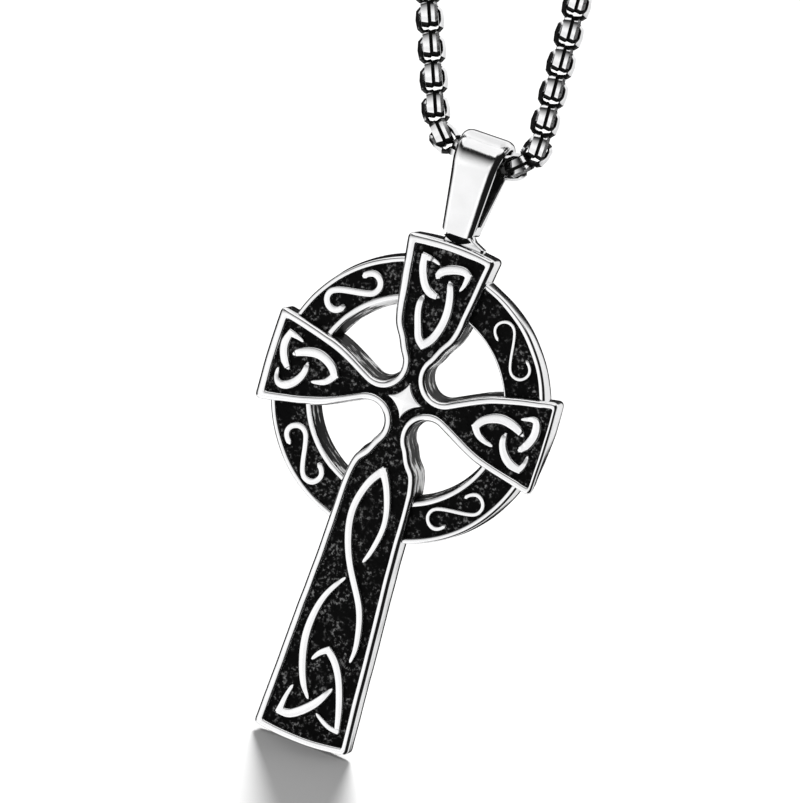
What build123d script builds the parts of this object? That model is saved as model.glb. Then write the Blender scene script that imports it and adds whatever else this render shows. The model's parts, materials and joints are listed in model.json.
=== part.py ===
from build123d import *
import os
from collections import namedtuple
from math import acos, atan2, cos, degrees, pi, radians, sin, sqrt, tan

# A cast cross pendant with a ringed head and a strap bail, on a round-section
# link chain that closes behind the neck with a plain clasp. Millimetres.
# The pendant is drawn lying down: X to its right, Y up its shaft, Z out of its
# face, with the centre of the ring at the origin and its flat back on Z = 0.
# It is then stood up, leaned and hung on the chain, which hangs in the XZ plane
# with its front towards -Y and the place where it is worn at the origin.

# The casting
BODY_THICKNESS = 3.0
RELIEF_DEPTH = 0.5
STRAND_DROP = 0.05
RIM_WIDTH = 0.65
STRAND_WIDTH = 0.75
SIDE_REACH = 15.1
SIDE_HALF = 4.75
SIDE_BULGE = 0.15
TOP_REACH = 16.2
TOP_HALF = 4.7
TOP_BULGE = 0.45
FOOT_REACH = 36.3
FOOT_HALF = 5.1
FOOT_BULGE = 0.5
CHANNEL_HALF_ACROSS = 1.27
CHANNEL_HALF_UP = 1.07
BULB_RADIUS = 2.08
BULB_SIDE_SLOPE = 26.0
BULB_SHAFT_SLOPE = 36.0
STAR_TIP = 2.0
STAR_WAIST = 1.05

# The ring between the arms
RING_RADIUS = 14.45
RING_OPENING = 10.15
RING_DRAFT = 0.55
RING_HEIGHT = 2.3
RING_RECESS = 0.3
RING_OUTER_RIM = 0.55
RING_INNER_RIM = 0.6
SCROLL_WIDTH = 0.5

# The bail
BAIL_THICKNESS = 1.05
BAIL_FOOT_WIDTH = 3.0
BAIL_TOP_WIDTH = 5.2
BAIL_HEIGHT = 10.9
BAIL_FOOT_DEPTH = 3.0
BAIL_NECK_WIDTH = 2.9
BAIL_NECK_DEPTH = 2.0
BAIL_NECK_RISE = 0.7
BAIL_FLOOR = 1.3
BAIL_FLOOR_GAP = 1.1
SEAT_CLEARANCE = 0.2
SEAT_ROOM = 0.5

# The chain and its clasp
CHAIN_DIAMETER = 3.0
CHAIN_LENGTH = 600.0
RIGHT_BEND = 3.0
LEFT_BEND = 4.3
STRAND_LEAN = 9.7
PENDANT_LEAN = 12.0
NAPE_CORNERS = 3
ARC_SHARE = 0.9
CLASP_LENGTH = 14.0
CLASP_WIDTH = 5.6
CLASP_TAIL_WIDTH = 3.8
CLASP_THICKNESS = 3.2
CLASP_COLLAR = 2.0
CLASP_COLLAR_DIAMETER = 3.6
CLASP_EYE_WIDTH = 1.6
CLASP_EYE_LENGTH = 3.4
CLASP_EDGE = 0.6
CLASP_GAP = 0.05

# Half widths of the arms. Columns: distance from the centre as a share of the
# arm's reach, and half width as a share of the half width at its end.
Flare = namedtuple("Flare", "along half")
SIDE_FLARE = [Flare(1.0, 1.0), Flare(0.795, 0.874), Flare(0.662, 0.775), Flare(0.53, 0.642),
              Flare(0.43, 0.495)]
TOP_FLARE = [Flare(1.0, 1.0), Flare(0.864, 0.936), Flare(0.741, 0.883), Flare(0.617, 0.819),
             Flare(0.494, 0.745), Flare(0.432, 0.67), Flare(0.37, 0.532)]
FOOT_FLARE = [Flare(1.0, 1.0), Flare(0.833, 0.931), Flare(0.694, 0.882), Flare(0.556, 0.824),
              Flare(0.417, 0.775), Flare(0.278, 0.745), Flare(0.211, 0.686), Flare(0.183, 0.608),
              Flare(0.161, 0.48)]

# Knot strands. Columns: distance from the centre as a share of the arm's reach,
# place across the arm as a share of its half width, with clockwise positive as
# seen from the centre, and width as a share of the strand width.
Bead = namedtuple("Bead", "along across width")
SIDE_KNOT = {
    "loop": [Bead(0.515, -0.01, 0.95), Bead(0.545, 0.13, 1.0), Bead(0.60, 0.25, 1.05), Bead(0.67, 0.31, 1.1),
             Bead(0.74, 0.28, 1.05), Bead(0.80, 0.205, 0.9), Bead(0.84, 0.12, 0.5)],
    "loop_tail": [Bead(0.515, -0.01, 0.95), Bead(0.55, -0.15, 0.8), Bead(0.60, -0.235, 0.6),
                  Bead(0.66, -0.285, 0.35)],
    "outer": [Bead(0.895, 0.525, 0.8), Bead(0.912, 0.34, 1.0), Bead(0.906, 0.13, 1.0), Bead(0.876, -0.06, 1.0),
              Bead(0.835, -0.20, 0.55)],
    "outer_tail": [Bead(0.895, 0.525, 0.8), Bead(0.84, 0.49, 0.5), Bead(0.795, 0.44, 0.3)],
    "hook": [Bead(0.88, -0.555, 0.8), Bead(0.822, -0.515, 1.0), Bead(0.772, -0.41, 1.0),
             Bead(0.735, -0.25, 0.9), Bead(0.72, -0.085, 0.8), Bead(0.722, 0.055, 0.5)],
    "hook_tail": [Bead(0.88, -0.555, 0.8), Bead(0.902, -0.44, 0.6), Bead(0.909, -0.24, 0.35)],
}
TOP_KNOT = {
    "loop": [Bead(0.367, 0.01, 1.0), Bead(0.401, 0.128, 1.0), Bead(0.469, 0.245, 1.0), Bead(0.549, 0.309, 1.0),
             Bead(0.617, 0.319, 1.0), Bead(0.704, 0.277, 0.95), Bead(0.765, 0.213, 0.8),
             Bead(0.796, 0.16, 0.45)],
    "loop_tail": [Bead(0.367, 0.01, 1.0), Bead(0.395, -0.106, 0.95), Bead(0.451, -0.191, 0.9),
                  Bead(0.537, -0.287, 0.85), Bead(0.605, -0.319, 0.8), Bead(0.66, -0.298, 0.5)],
    "outer": [Bead(0.864, 0.532, 0.8), Bead(0.88, 0.42, 0.95), Bead(0.88, 0.298, 1.0), Bead(0.861, 0.085, 1.05),
              Bead(0.827, -0.074, 1.0), Bead(0.784, -0.138, 0.7)],
    "outer_tail": [Bead(0.864, 0.532, 0.8), Bead(0.815, 0.511, 0.6), Bead(0.759, 0.436, 0.3)],
    "hook": [Bead(0.892, -0.521, 0.85), Bead(0.833, -0.489, 1.0), Bead(0.765, -0.404, 1.0),
             Bead(0.71, -0.277, 1.0), Bead(0.685, -0.128, 0.95), Bead(0.679, 0.043, 0.55)],
    "hook_tail": [Bead(0.892, -0.521, 0.85), Bead(0.889, -0.319, 0.45), Bead(0.873, -0.16, 0.3)],
}
FOOT_KNOT = {
    "long_strand": [Bead(0.206, 0.0, 1.0), Bead(0.231, 0.137, 0.95), Bead(0.269, 0.265, 0.9),
                    Bead(0.339, 0.363, 0.9), Bead(0.408, 0.294, 0.9), Bead(0.45, 0.196, 0.85),
                    Bead(0.489, 0.069, 0.8), Bead(0.556, -0.216, 0.8), Bead(0.592, -0.353, 0.8),
                    Bead(0.633, -0.451, 0.75), Bead(0.675, -0.51, 0.7), Bead(0.708, -0.529, 0.6),
                    Bead(0.747, -0.5, 0.35)],
    "leaf": [Bead(0.206, 0.0, 1.0), Bead(0.233, -0.118, 0.85), Bead(0.272, -0.235, 0.8),
             Bead(0.342, -0.343, 0.7), Bead(0.411, -0.284, 0.65), Bead(0.444, -0.216, 0.55),
             Bead(0.467, -0.147, 0.35)],
    "side_strand": [Bead(0.525, 0.098, 0.35), Bead(0.553, 0.235, 0.6), Bead(0.589, 0.373, 0.7),
                    Bead(0.628, 0.461, 0.8), Bead(0.672, 0.51, 0.9), Bead(0.711, 0.52, 0.95),
                    Bead(0.758, 0.48, 0.95), Bead(0.806, 0.392, 0.9), Bead(0.847, 0.275, 0.8),
                    Bead(0.885, 0.10, 0.35)],
    "lower_loop": [Bead(0.735, 0.0, 0.8), Bead(0.75, -0.137, 0.9), Bead(0.778, -0.294, 0.9),
                   Bead(0.811, -0.412, 0.85), Bead(0.85, -0.51, 0.85), Bead(0.889, -0.588, 0.8),
                   Bead(0.944, -0.667, 0.6)],
    "lower_loop_tail": [Bead(0.735, 0.0, 0.8), Bead(0.75, 0.137, 0.65), Bead(0.775, 0.265, 0.35)],
    "lower_loop_foot": [Bead(0.944, -0.667, 0.6), Bead(0.943, -0.53, 0.5), Bead(0.933, -0.353, 0.5),
                        Bead(0.917, -0.157, 0.3)],
    "sweep": [Bead(0.944, 0.588, 0.85), Bead(0.944, 0.431, 0.95), Bead(0.931, 0.235, 1.05),
              Bead(0.908, 0.039, 1.05), Bead(0.883, -0.118, 0.95), Bead(0.856, -0.235, 0.7),
              Bead(0.836, -0.314, 0.4)],
    "sweep_tail": [Bead(0.944, 0.588, 0.85), Bead(0.922, 0.569, 0.65), Bead(0.894, 0.539, 0.5),
                   Bead(0.864, 0.48, 0.4)],
}
# Half of the scroll in each quarter of the ring, from its middle outwards.
# Columns: place along the radius, place round the ring, both as shares of the
# width of the ring's recess, and width as a share of the scroll width.
Curl = namedtuple("Curl", "out round width")
SCROLL_HALF = [Curl(0.0, 0.0, 1.0), Curl(-0.25, 0.37, 1.0), Curl(-0.345, 0.65, 1.05),
               Curl(-0.25, 0.87, 1.1), Curl(-0.03, 0.96, 1.1), Curl(0.19, 0.885, 1.1),
               Curl(0.29, 0.66, 1.05), Curl(0.28, 0.48, 1.1)]

# Values worked out from the sizes above
FLOOR = BODY_THICKNESS - RELIEF_DEPTH
STRAND_TOP = BODY_THICKNESS - STRAND_DROP
SINK = RELIEF_DEPTH / 2
RING_FLOOR = RING_HEIGHT - RING_RECESS
RECESS_INNER = RING_OPENING + RING_INNER_RIM
RECESS_OUTER = RING_RADIUS - RING_OUTER_RIM
BULB_ACROSS = CHANNEL_HALF_ACROSS + BULB_RADIUS
BULB_UP = CHANNEL_HALF_UP + BULB_RADIUS
MID_DEPTH = BODY_THICKNESS / 2
TOP_EDGE = TOP_REACH + TOP_BULGE
SEAT_RADIUS = CHAIN_DIAMETER / 2 + SEAT_CLEARANCE
BEND_INNER = SEAT_RADIUS + SEAT_ROOM
BEND_OUTER = BEND_INNER + BAIL_THICKNESS
BAIL_FOOT = TOP_EDGE + BAIL_NECK_RISE
BEND_CENTRE = BAIL_FOOT + BAIL_HEIGHT - BEND_OUTER
SEAT_HEIGHT = BEND_CENTRE + SEAT_ROOM


def polar(radius, angle):
    """The point at a radius and an angle in degrees."""
    return radius * cos(radians(angle)), radius * sin(radians(angle))


def flank(flare, reach, half, slope, inset):
    """Edge of an arm from its end corner to the bulb, moved inwards; X runs across the arm and Y along it."""
    joint = (BULB_ACROSS - BULB_RADIUS * cos(radians(slope)), BULB_UP + BULB_RADIUS * sin(radians(slope)))
    return moved_spline([(row.half * half, row.along * reach) for row in flare], joint, slope, reach, inset)


def side_flank(inset):
    """The same edge of the side arm, drawn upright and then laid over."""
    joint = (BULB_UP - BULB_RADIUS * cos(radians(BULB_SIDE_SLOPE)),
             BULB_ACROSS + BULB_RADIUS * sin(radians(BULB_SIDE_SLOPE)))
    points = [(row.half * SIDE_HALF, row.along * SIDE_REACH) for row in SIDE_FLARE]
    upright = moved_spline(points, joint, BULB_SIDE_SLOPE, SIDE_REACH, inset)
    return upright.mirror(Plane(origin=(0, 0, 0), x_dir=(0, 0, 1), z_dir=(1, -1, 0)))


def moved_spline(points, joint, slope, reach, inset):
    """A spline through points and joint, moved sideways by inset and kept as far off the arm's end."""
    points = [Vector(*point) for point in points + [joint]]
    start = (points[1] - points[0]).normalized()
    end = Vector(-sin(radians(slope)), -cos(radians(slope)))
    edge = Spline(*points, tangents=(start, end))
    runs = [edge.tangent_at(edge.param_at_point(point)) for point in points]
    moved = [point + Vector(run.Y, -run.X) * inset for point, run in zip(points, runs)]
    moved[0] += start * ((moved[0].Y - reach + inset) / -start.Y)
    return Spline(*moved, tangents=(start, end))


def quarter_edges(flare, reach, half, inset):
    """Edges of the upper right quarter, from the side arm's corner round the bulb to the shaft's."""
    side = side_flank(inset)
    shaft = flank(flare, reach, half, BULB_SHAFT_SLOPE, inset)
    across, up = polar(BULB_RADIUS + inset, 225)
    bulb = ThreePointArc(side @ 1, (BULB_ACROSS + across, BULB_UP + up), shaft @ 1)
    return [side, bulb, shaft]


def end_arc(corner, bulge):
    """End of an arm from one corner to its mirror image, swelling outwards."""
    if abs(corner.X) > abs(corner.Y):
        return ThreePointArc(corner, (corner.X + bulge, 0), (corner.X, -corner.Y))
    return ThreePointArc(corner, (0, corner.Y + bulge), (-corner.X, corner.Y))


def cross_face(inset):
    """The outline of the arms, or the outline of their recess with an inset."""
    upper = quarter_edges(TOP_FLARE, TOP_REACH, TOP_HALF, inset)
    lower = [edge.mirror(Plane.XZ) for edge in quarter_edges(FOOT_FLARE, FOOT_REACH, FOOT_HALF, inset)]
    right = upper + lower
    left = [edge.mirror(Plane.YZ) for edge in right]
    ends = [end_arc(upper[0] @ 0, SIDE_BULGE), end_arc(left[0] @ 0, -SIDE_BULGE),
            end_arc(upper[2] @ 0, TOP_BULGE), end_arc(lower[2] @ 0, -FOOT_BULGE)]
    return make_face(Wire(right + left + ends).edges())


def slab(face, low, high):
    """A face in the drawing plane, raised between two heights."""
    return Pos(0, 0, low) * extrude(face, amount=high - low)


def strand_face(points, widths):
    """Outline of a strand that follows points, with a width at each and round ends."""
    spine = Spline(*points)
    left, right = [], []
    for point, width in zip(points, widths):
        run = spine.tangent_at(spine.param_at_point(Vector(*point)))
        side = Vector(-run.Y, run.X) * (width / 2)
        left.append(Vector(*point) + side)
        right.append(Vector(*point) - side)
    start = Vector(*points[0]) - spine.tangent_at(0) * (widths[0] / 2)
    end = Vector(*points[-1]) + spine.tangent_at(1) * (widths[-1] / 2)
    edges = [Spline(*left), ThreePointArc(left[-1], end, right[-1]), Spline(*right),
             ThreePointArc(right[0], start, left[0])]
    return make_face(edges)


def knot(table, reach, half, heading, mirrored=False):
    """Strands of one arm; heading turns the arm from the top, clockwise positive."""
    hand = -1 if mirrored else 1
    solids = []
    for rows in table.values():
        points = [(hand * row.across * half, row.along * reach) for row in rows]
        face = strand_face(points, [row.width * STRAND_WIDTH for row in rows])
        solids.append(Rot(0, 0, -heading) * slab(face, FLOOR - SINK, STRAND_TOP))
    return solids


def scroll(heading):
    """The double-ended scroll of one quarter of the ring."""
    recess = RECESS_OUTER - RECESS_INNER
    middle = (RECESS_OUTER + RECESS_INNER) / 2 - RING_RECESS / 2
    solids = []
    for hand in (1, -1):
        points = [(hand * row.round * recess, middle + hand * row.out * recess) for row in SCROLL_HALF]
        face = strand_face(points, [row.width * SCROLL_WIDTH for row in SCROLL_HALF])
        solids.append(Rot(0, 0, -heading) * slab(face, RING_FLOOR - SINK, RING_HEIGHT))
    return solids


def star():
    """The small four-pointed star at the crossing, with hollow sides."""
    tips = [polar(STAR_TIP, angle) for angle in (0, 90, 180, 270)]
    waists = [polar(STAR_WAIST, angle) for angle in (45, 135, 225, 315)]
    edges = [ThreePointArc(tips[i], waists[i], tips[(i + 1) % 4]) for i in range(4)]
    return slab(make_face(edges), FLOOR - SINK, STRAND_TOP)


def ring():
    """The ring with a raised rim at each edge; its opening narrows to the back."""
    section = Polyline(
        (RING_OPENING - RING_DRAFT, 0), (RING_RADIUS, 0), (RING_RADIUS, RING_HEIGHT),
        (RECESS_OUTER, RING_HEIGHT), (RECESS_OUTER, RING_FLOOR), (RECESS_INNER, RING_FLOOR),
        (RECESS_INNER, RING_HEIGHT), (RING_OPENING, RING_HEIGHT), close=True)
    return revolve(Plane.XZ * make_face(section), Axis.Z)


def teardrop(radius, floor_half, floor_y):
    """Side view of the bail at one surface: a round top on straight sides to a narrow foot."""
    rise = BEND_CENTRE - floor_y
    span = sqrt(rise ** 2 + floor_half ** 2)
    angle = degrees(acos(radius / span) - atan2(rise, floor_half))
    out, up = polar(radius, angle)
    touch = (MID_DEPTH + out, BEND_CENTRE + up)
    mirror_touch = (2 * MID_DEPTH - touch[0], touch[1])
    foot = (MID_DEPTH + floor_half, floor_y)
    mirror_foot = (MID_DEPTH - floor_half, floor_y)
    bend = ThreePointArc(touch, (MID_DEPTH, BEND_CENTRE + radius), mirror_touch)
    return make_face([Line(mirror_foot, foot), Line(foot, touch), bend, Line(mirror_touch, mirror_foot)])


def bail():
    """Strap bail: a teardrop loop seen from the side, widening to its top, on a short neck."""
    side_view = teardrop(BEND_OUTER, BAIL_FOOT_DEPTH / 2, BAIL_FOOT)
    side_view -= teardrop(BEND_INNER, BAIL_FLOOR_GAP / 2, BAIL_FOOT + BAIL_FLOOR)
    across = Plane(origin=(0, 0, 0), x_dir=(0, 0, 1), z_dir=(-1, 0, 0))
    loop = extrude(across * side_view, amount=BAIL_TOP_WIDTH, both=True)
    top = BAIL_FOOT + BAIL_HEIGHT
    front_view = make_face(Polyline(
        (-BAIL_FOOT_WIDTH / 2, BAIL_FOOT), (BAIL_FOOT_WIDTH / 2, BAIL_FOOT),
        (BAIL_TOP_WIDTH / 2, top), (-BAIL_TOP_WIDTH / 2, top), close=True))
    loop &= slab(front_view, -BAIL_HEIGHT, BAIL_HEIGHT)
    low = TOP_REACH - RIM_WIDTH / 2
    neck = Pos(0, (low + BAIL_FOOT + SINK) / 2, MID_DEPTH) * Box(
        BAIL_NECK_WIDTH, BAIL_FOOT + SINK - low, BAIL_NECK_DEPTH)
    return loop + neck


def pendant():
    """Cross, ring, relief and bail as one casting."""
    body = slab(cross_face(0), 0, BODY_THICKNESS) + ring()
    body -= slab(cross_face(RIM_WIDTH), FLOOR, BODY_THICKNESS + SINK)
    groups = [
        [star(), bail()],
        knot(TOP_KNOT, TOP_REACH, TOP_HALF, 0),
        knot(SIDE_KNOT, SIDE_REACH, SIDE_HALF, -90),
        knot(SIDE_KNOT, SIDE_REACH, SIDE_HALF, 90, mirrored=True),
        knot(FOOT_KNOT, FOOT_REACH, FOOT_HALF, 180),
    ]
    groups += [scroll(-45 + 90 * quarter) for quarter in range(4)]
    for group in groups:
        body += group
    return body


def stand_up(shape, seat):
    """Stands the pendant up, leans it and brings its seat on the chain to its place."""
    seated = Pos(0, -SEAT_HEIGHT, -MID_DEPTH) * shape
    return Pos(*seat) * Rot(0, PENDANT_LEAN, 0) * Rot(90, 0, 0) * seated


def slanted(seat_x, seat_z, distance):
    """A point on the line of the chain through the bail."""
    along, down = polar(distance, PENDANT_LEAN)
    return seat_x + along, 0, seat_z - down


def route(nape_radius):
    """Corners and radii of the chain from one end of the clasp, through the bail, to the other."""
    lean = radians(STRAND_LEAN)
    right_turn = 90 + PENDANT_LEAN - STRAND_LEAN
    left_turn = 90 - PENDANT_LEAN - STRAND_LEAN
    passage = BAIL_TOP_WIDTH / 2 - BAIL_THICKNESS / 2
    right_reach = passage + RIGHT_BEND * tan(radians(right_turn / 2))
    left_reach = passage + LEFT_BEND * tan(radians(left_turn / 2))
    right_corner = slanted(0, 0, right_reach)
    left_corner = slanted(0, 0, -left_reach)
    middle_x = (right_corner[0] + left_corner[0]) / 2 - tan(lean) * (right_corner[2] - left_corner[2]) / 2
    half_clasp = CLASP_LENGTH / 2 + CLASP_GAP
    centre_x = middle_x + half_clasp
    tangent_x = centre_x + nape_radius * cos(lean)
    tangent_z = right_corner[2] + (tangent_x - right_corner[0]) / tan(lean)
    centre_z = tangent_z + nape_radius * sin(lean)
    turn = (90 + STRAND_LEAN) / NAPE_CORNERS
    corner_radius = nape_radius / cos(radians(turn / 2))
    right_arc = []
    for i in range(NAPE_CORNERS):
        x, z = polar(corner_radius, -STRAND_LEAN + turn * (i + 0.5))
        right_arc.append((centre_x + x, 0, centre_z + z))
    left_arc = [(2 * middle_x - x, y, z) for x, y, z in right_arc]
    top_z = centre_z + nape_radius
    start = (centre_x, 0, top_z)
    end = (2 * middle_x - centre_x, 0, top_z)
    points = [start] + right_arc[::-1] + [right_corner, left_corner] + left_arc + [end]
    arc = ARC_SHARE * nape_radius
    radii = [arc] * NAPE_CORNERS + [RIGHT_BEND, LEFT_BEND] + [arc] * NAPE_CORNERS
    rise = top_z - CLASP_WIDTH / 2
    placed = [(x - middle_x, y, z - rise) for x, y, z in points]
    return placed, radii, (-middle_x, 0, -rise)


def chain_path(nape_radius):
    """The chain's middle line, the bail's seat on it and the radii of its corners."""
    points, radii, seat = route(nape_radius)
    return FilletPolyline(*points, radius=radii), seat, radii


def nape_radius_for(length):
    """The route's length grows evenly with the radius behind the neck, so two trials give it."""
    trial = CHAIN_LENGTH / (4 * pi)
    one = chain_path(trial)[0].length
    two = chain_path(2 * trial)[0].length
    return trial * (1 + (length - one) / (two - one))


def clasp():
    """Plain lobster-shaped clasp, one piece, with a collar at each end for the chain."""
    body_half = CLASP_LENGTH / 2 - CLASP_COLLAR
    head = CLASP_WIDTH / 2
    tail = CLASP_TAIL_WIDTH / 2
    head_edges = (Pos(body_half - head, 0) * Circle(head)).edges()
    tail_edges = (Pos(tail - body_half, 0) * Circle(tail)).edges()
    shape = make_hull(head_edges + tail_edges)
    plate = Pos(0, 0, -CLASP_THICKNESS / 2) * extrude(shape, amount=CLASP_THICKNESS)
    plate = fillet(plate.edges().filter_by(Plane.XY), CLASP_EDGE)
    eye = Pos(body_half - head - CLASP_EYE_LENGTH / 4, 0) * SlotOverall(CLASP_EYE_LENGTH, CLASP_EYE_WIDTH)
    plate -= Pos(0, 0, -CLASP_THICKNESS) * extrude(eye, amount=2 * CLASP_THICKNESS)
    collar = Rot(0, 90, 0) * Cylinder(CLASP_COLLAR_DIAMETER / 2, 2 * CLASP_COLLAR)
    for middle in (body_half, -body_half):
        plate += Pos(middle, 0, 0) * collar
    return Pos(0, 0, CLASP_WIDTH / 2) * Rot(90, 0, 0) * plate


os.makedirs("parts", exist_ok=True)
loop_length = CHAIN_LENGTH - CLASP_LENGTH - 2 * CLASP_GAP
nape_radius = nape_radius_for(loop_length)
path, seat, radii = chain_path(nape_radius)
section = Plane(origin=path @ 0, z_dir=path % 0) * Circle(CHAIN_DIAMETER / 2)
chain = sweep(section, path=path)
print("nape radius %.2f, seat %s" % (nape_radius, [round(value, 3) for value in seat]))
print("chain length %.2f, radii %s" % (path.length, [round(radius, 2) for radius in radii]))
print("tube volume %.1f, section times length %.1f" % (
    chain.volume, pi * (CHAIN_DIAMETER / 2) ** 2 * path.length))

cross_and_bail = stand_up(pendant(), seat)
export_step(cross_and_bail, "parts/cross_and_bail.step")
export_step(chain, "parts/chain.step")
export_step(clasp(), "parts/clasp.step")
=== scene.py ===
"""Dresses the ringed cross pendant, its strap bail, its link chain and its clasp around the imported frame.

Castings are drawn in millimetres as they lie on the bench: X to the right of the cross, Y up its shaft,
Z out of its face, with the middle of the ring at the origin and the flat back at zero. The seat of the
bail on the chain then brings them to their place, in metres.
"""
from __future__ import annotations

import json
import logging
import math
from collections.abc import Callable, Iterable
from dataclasses import dataclass, field
from enum import Enum, IntEnum
from typing import Any

import bmesh
import bpy
import numpy as np
from mathutils import Matrix, Vector, geometry, noise

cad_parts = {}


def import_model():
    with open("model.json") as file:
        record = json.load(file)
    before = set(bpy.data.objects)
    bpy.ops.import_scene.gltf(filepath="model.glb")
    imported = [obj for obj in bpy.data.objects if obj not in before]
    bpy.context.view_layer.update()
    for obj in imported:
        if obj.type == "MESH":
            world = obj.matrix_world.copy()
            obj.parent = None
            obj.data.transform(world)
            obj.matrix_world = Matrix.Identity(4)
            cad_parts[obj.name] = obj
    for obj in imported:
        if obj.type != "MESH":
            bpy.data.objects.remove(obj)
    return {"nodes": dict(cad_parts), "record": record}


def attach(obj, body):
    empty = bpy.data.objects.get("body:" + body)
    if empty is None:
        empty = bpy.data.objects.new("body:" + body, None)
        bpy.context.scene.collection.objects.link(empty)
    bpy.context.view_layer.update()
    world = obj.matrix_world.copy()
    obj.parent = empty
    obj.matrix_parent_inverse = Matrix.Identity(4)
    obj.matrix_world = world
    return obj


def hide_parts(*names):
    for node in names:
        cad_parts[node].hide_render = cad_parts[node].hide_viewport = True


LOG = logging.getLogger("pendant")
MM = 0.001


class Body(str, Enum):
    """The bodies that pieces ride on."""

    NECKLACE = "necklace"
    PENDANT = "pendant"


class Zone(IntEnum):
    """Parts of the casting's surface that are finished apart."""

    BRIGHT = 0
    ARMS_RELIEF = 1
    RING_RELIEF = 2
    ARMS_FLOOR = 3
    RING_FLOOR = 4
    OPENING = 5
    BACK = 6
    INSIDE = 7


# Curves and meshes drawn on the bench


@dataclass
class Run:
    """A stretch of smooth curve: its points, its directions and each point's share of the way along."""

    points: np.ndarray
    ways: np.ndarray
    shares: np.ndarray

    def mirrored(self, across: int) -> Run:
        """The run's mirror image in one axis, in the opposite order, so that it turns the same way."""
        sign = np.ones(2)
        sign[across] = -1
        return Run((self.points * sign)[::-1], (-self.ways * sign)[::-1], (1 - self.shares)[::-1])


def lengths_along(points: np.ndarray) -> np.ndarray:
    """How far along a line each of its points is."""
    return np.concatenate([[0], np.cumsum(np.linalg.norm(np.diff(points, axis=0), axis=1))])


def turn_matrix(degrees: float) -> np.ndarray:
    """The matrix that turns flat points counter-clockwise."""
    angle = math.radians(degrees)
    return np.array([[math.cos(angle), -math.sin(angle)], [math.sin(angle), math.cos(angle)]])


@dataclass(frozen=True)
class Ramp:
    """Goes evenly from 0 at its start to 1 a length further on, or further back if that is negative."""

    start: float
    length: float

    def at(self, value: Any) -> Any:
        """Its height at a value or at each of several."""
        return np.clip((value - self.start) / self.length, 0, 1)


def stippled(random: np.random.Generator, count: int, height: float) -> np.ndarray:
    """Random heights of as many points of a stippled floor."""
    return random.normal(0, 0.5, count).clip(-1, 1) * height


SAMPLES_PER_KNOT = 80


def smooth_run(knots: np.ndarray, step: float, start: np.ndarray | None = None,
               end: np.ndarray | None = None) -> Run:
    """Draws a cubic curve with even curvature through knots.

    Args:
        knots: Points that the curve passes.
        step: Spacing of the run's points.
        start: Direction at the first knot, or None for a free end.
        end: Direction at the last knot, or None for a free end.

    Returns:
        The run, its shares counted in knots from 0 to 1.
    """
    count = len(knots)
    chords = np.linalg.norm(np.diff(knots, axis=0), axis=1)
    system = np.zeros((count, count))
    right = np.zeros((count, 2))
    for i in range(1, count - 1):
        before, after = chords[i - 1], chords[i]
        system[i, i - 1:i + 2] = after, 2 * (before + after), before
        slope_before = (knots[i] - knots[i - 1]) / before
        slope_after = (knots[i + 1] - knots[i]) / after
        right[i] = 3 * (after * slope_before + before * slope_after)
    for row, near, way in ((0, 1, start), (count - 1, count - 2, end)):
        system[row, row] = 1 if way is not None else 2
        if way is not None:
            right[row] = way / np.linalg.norm(way)
            continue
        system[row, near] = 1
        chord = chords[0] if row == 0 else chords[-1]
        right[row] = 3 * (knots[max(row, near)] - knots[min(row, near)]) / chord
    slopes = np.linalg.solve(system, right)
    dense = np.linspace(0, count - 1, SAMPLES_PER_KNOT * (count - 1) + 1)
    piece = np.minimum(dense.astype(int), count - 2)
    part = (dense - piece)[:, None]
    chord = chords[piece][:, None]
    square, cube = part ** 2, part ** 3
    fine = (2 * cube - 3 * square + 1) * knots[piece] + (cube - 2 * square + part) * chord * slopes[piece]
    fine = fine + (3 * square - 2 * cube) * knots[piece + 1] + (cube - square) * chord * slopes[piece + 1]
    lengths = lengths_along(fine)
    places = np.linspace(0, lengths[-1], max(2, int(round(lengths[-1] / step)) + 1))
    points = np.stack([np.interp(places, lengths, fine[:, axis]) for axis in (0, 1)], axis=1)
    ways = np.gradient(points, axis=0)
    ways /= np.linalg.norm(ways, axis=1)[:, None]
    if start is not None:
        ways[0] = start / np.linalg.norm(start)
    if end is not None:
        ways[-1] = end / np.linalg.norm(end)
    return Run(points, ways, np.interp(places, lengths, dense) / (count - 1))


def arc_run(centre: tuple[float, float], radius: float, first: float, last: float, step: float) -> Run:
    """Draws an arc between two angles in degrees, clockwise if the last is the smaller."""
    count = max(3, int(round(abs(math.radians(last - first)) * radius / step)) + 1)
    angles = np.radians(np.linspace(first, last, count))
    out = np.stack([np.cos(angles), np.sin(angles)], axis=1)
    hand = 1 if last > first else -1
    ways = hand * np.stack([-out[:, 1], out[:, 0]], axis=1)
    return Run(np.array(centre) + radius * out, ways, np.linspace(0, 1, count))


def bowed_run(first: np.ndarray, last: np.ndarray, bulge: float, step: float) -> Run:
    """Draws a shallow arc from one point to another that swells to its right by bulge."""
    chord = last - first
    half = np.linalg.norm(chord) / 2
    radius = (half ** 2 + bulge ** 2) / (2 * bulge)
    out = np.array([chord[1], -chord[0]]) / (2 * half)
    centre = (first + last) / 2 - out * (radius - bulge)
    lean = math.degrees(math.atan2(out[1], out[0]))
    reach = math.degrees(math.asin(half / radius))
    return arc_run((float(centre[0]), float(centre[1])), radius, lean - reach, lean + reach, step)


def linked(name: str, data: bpy.types.ID) -> bpy.types.Object:
    """A new object of the data, linked to the scene."""
    made = bpy.data.objects.new(name, data)
    bpy.context.scene.collection.objects.link(made)
    return made


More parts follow.
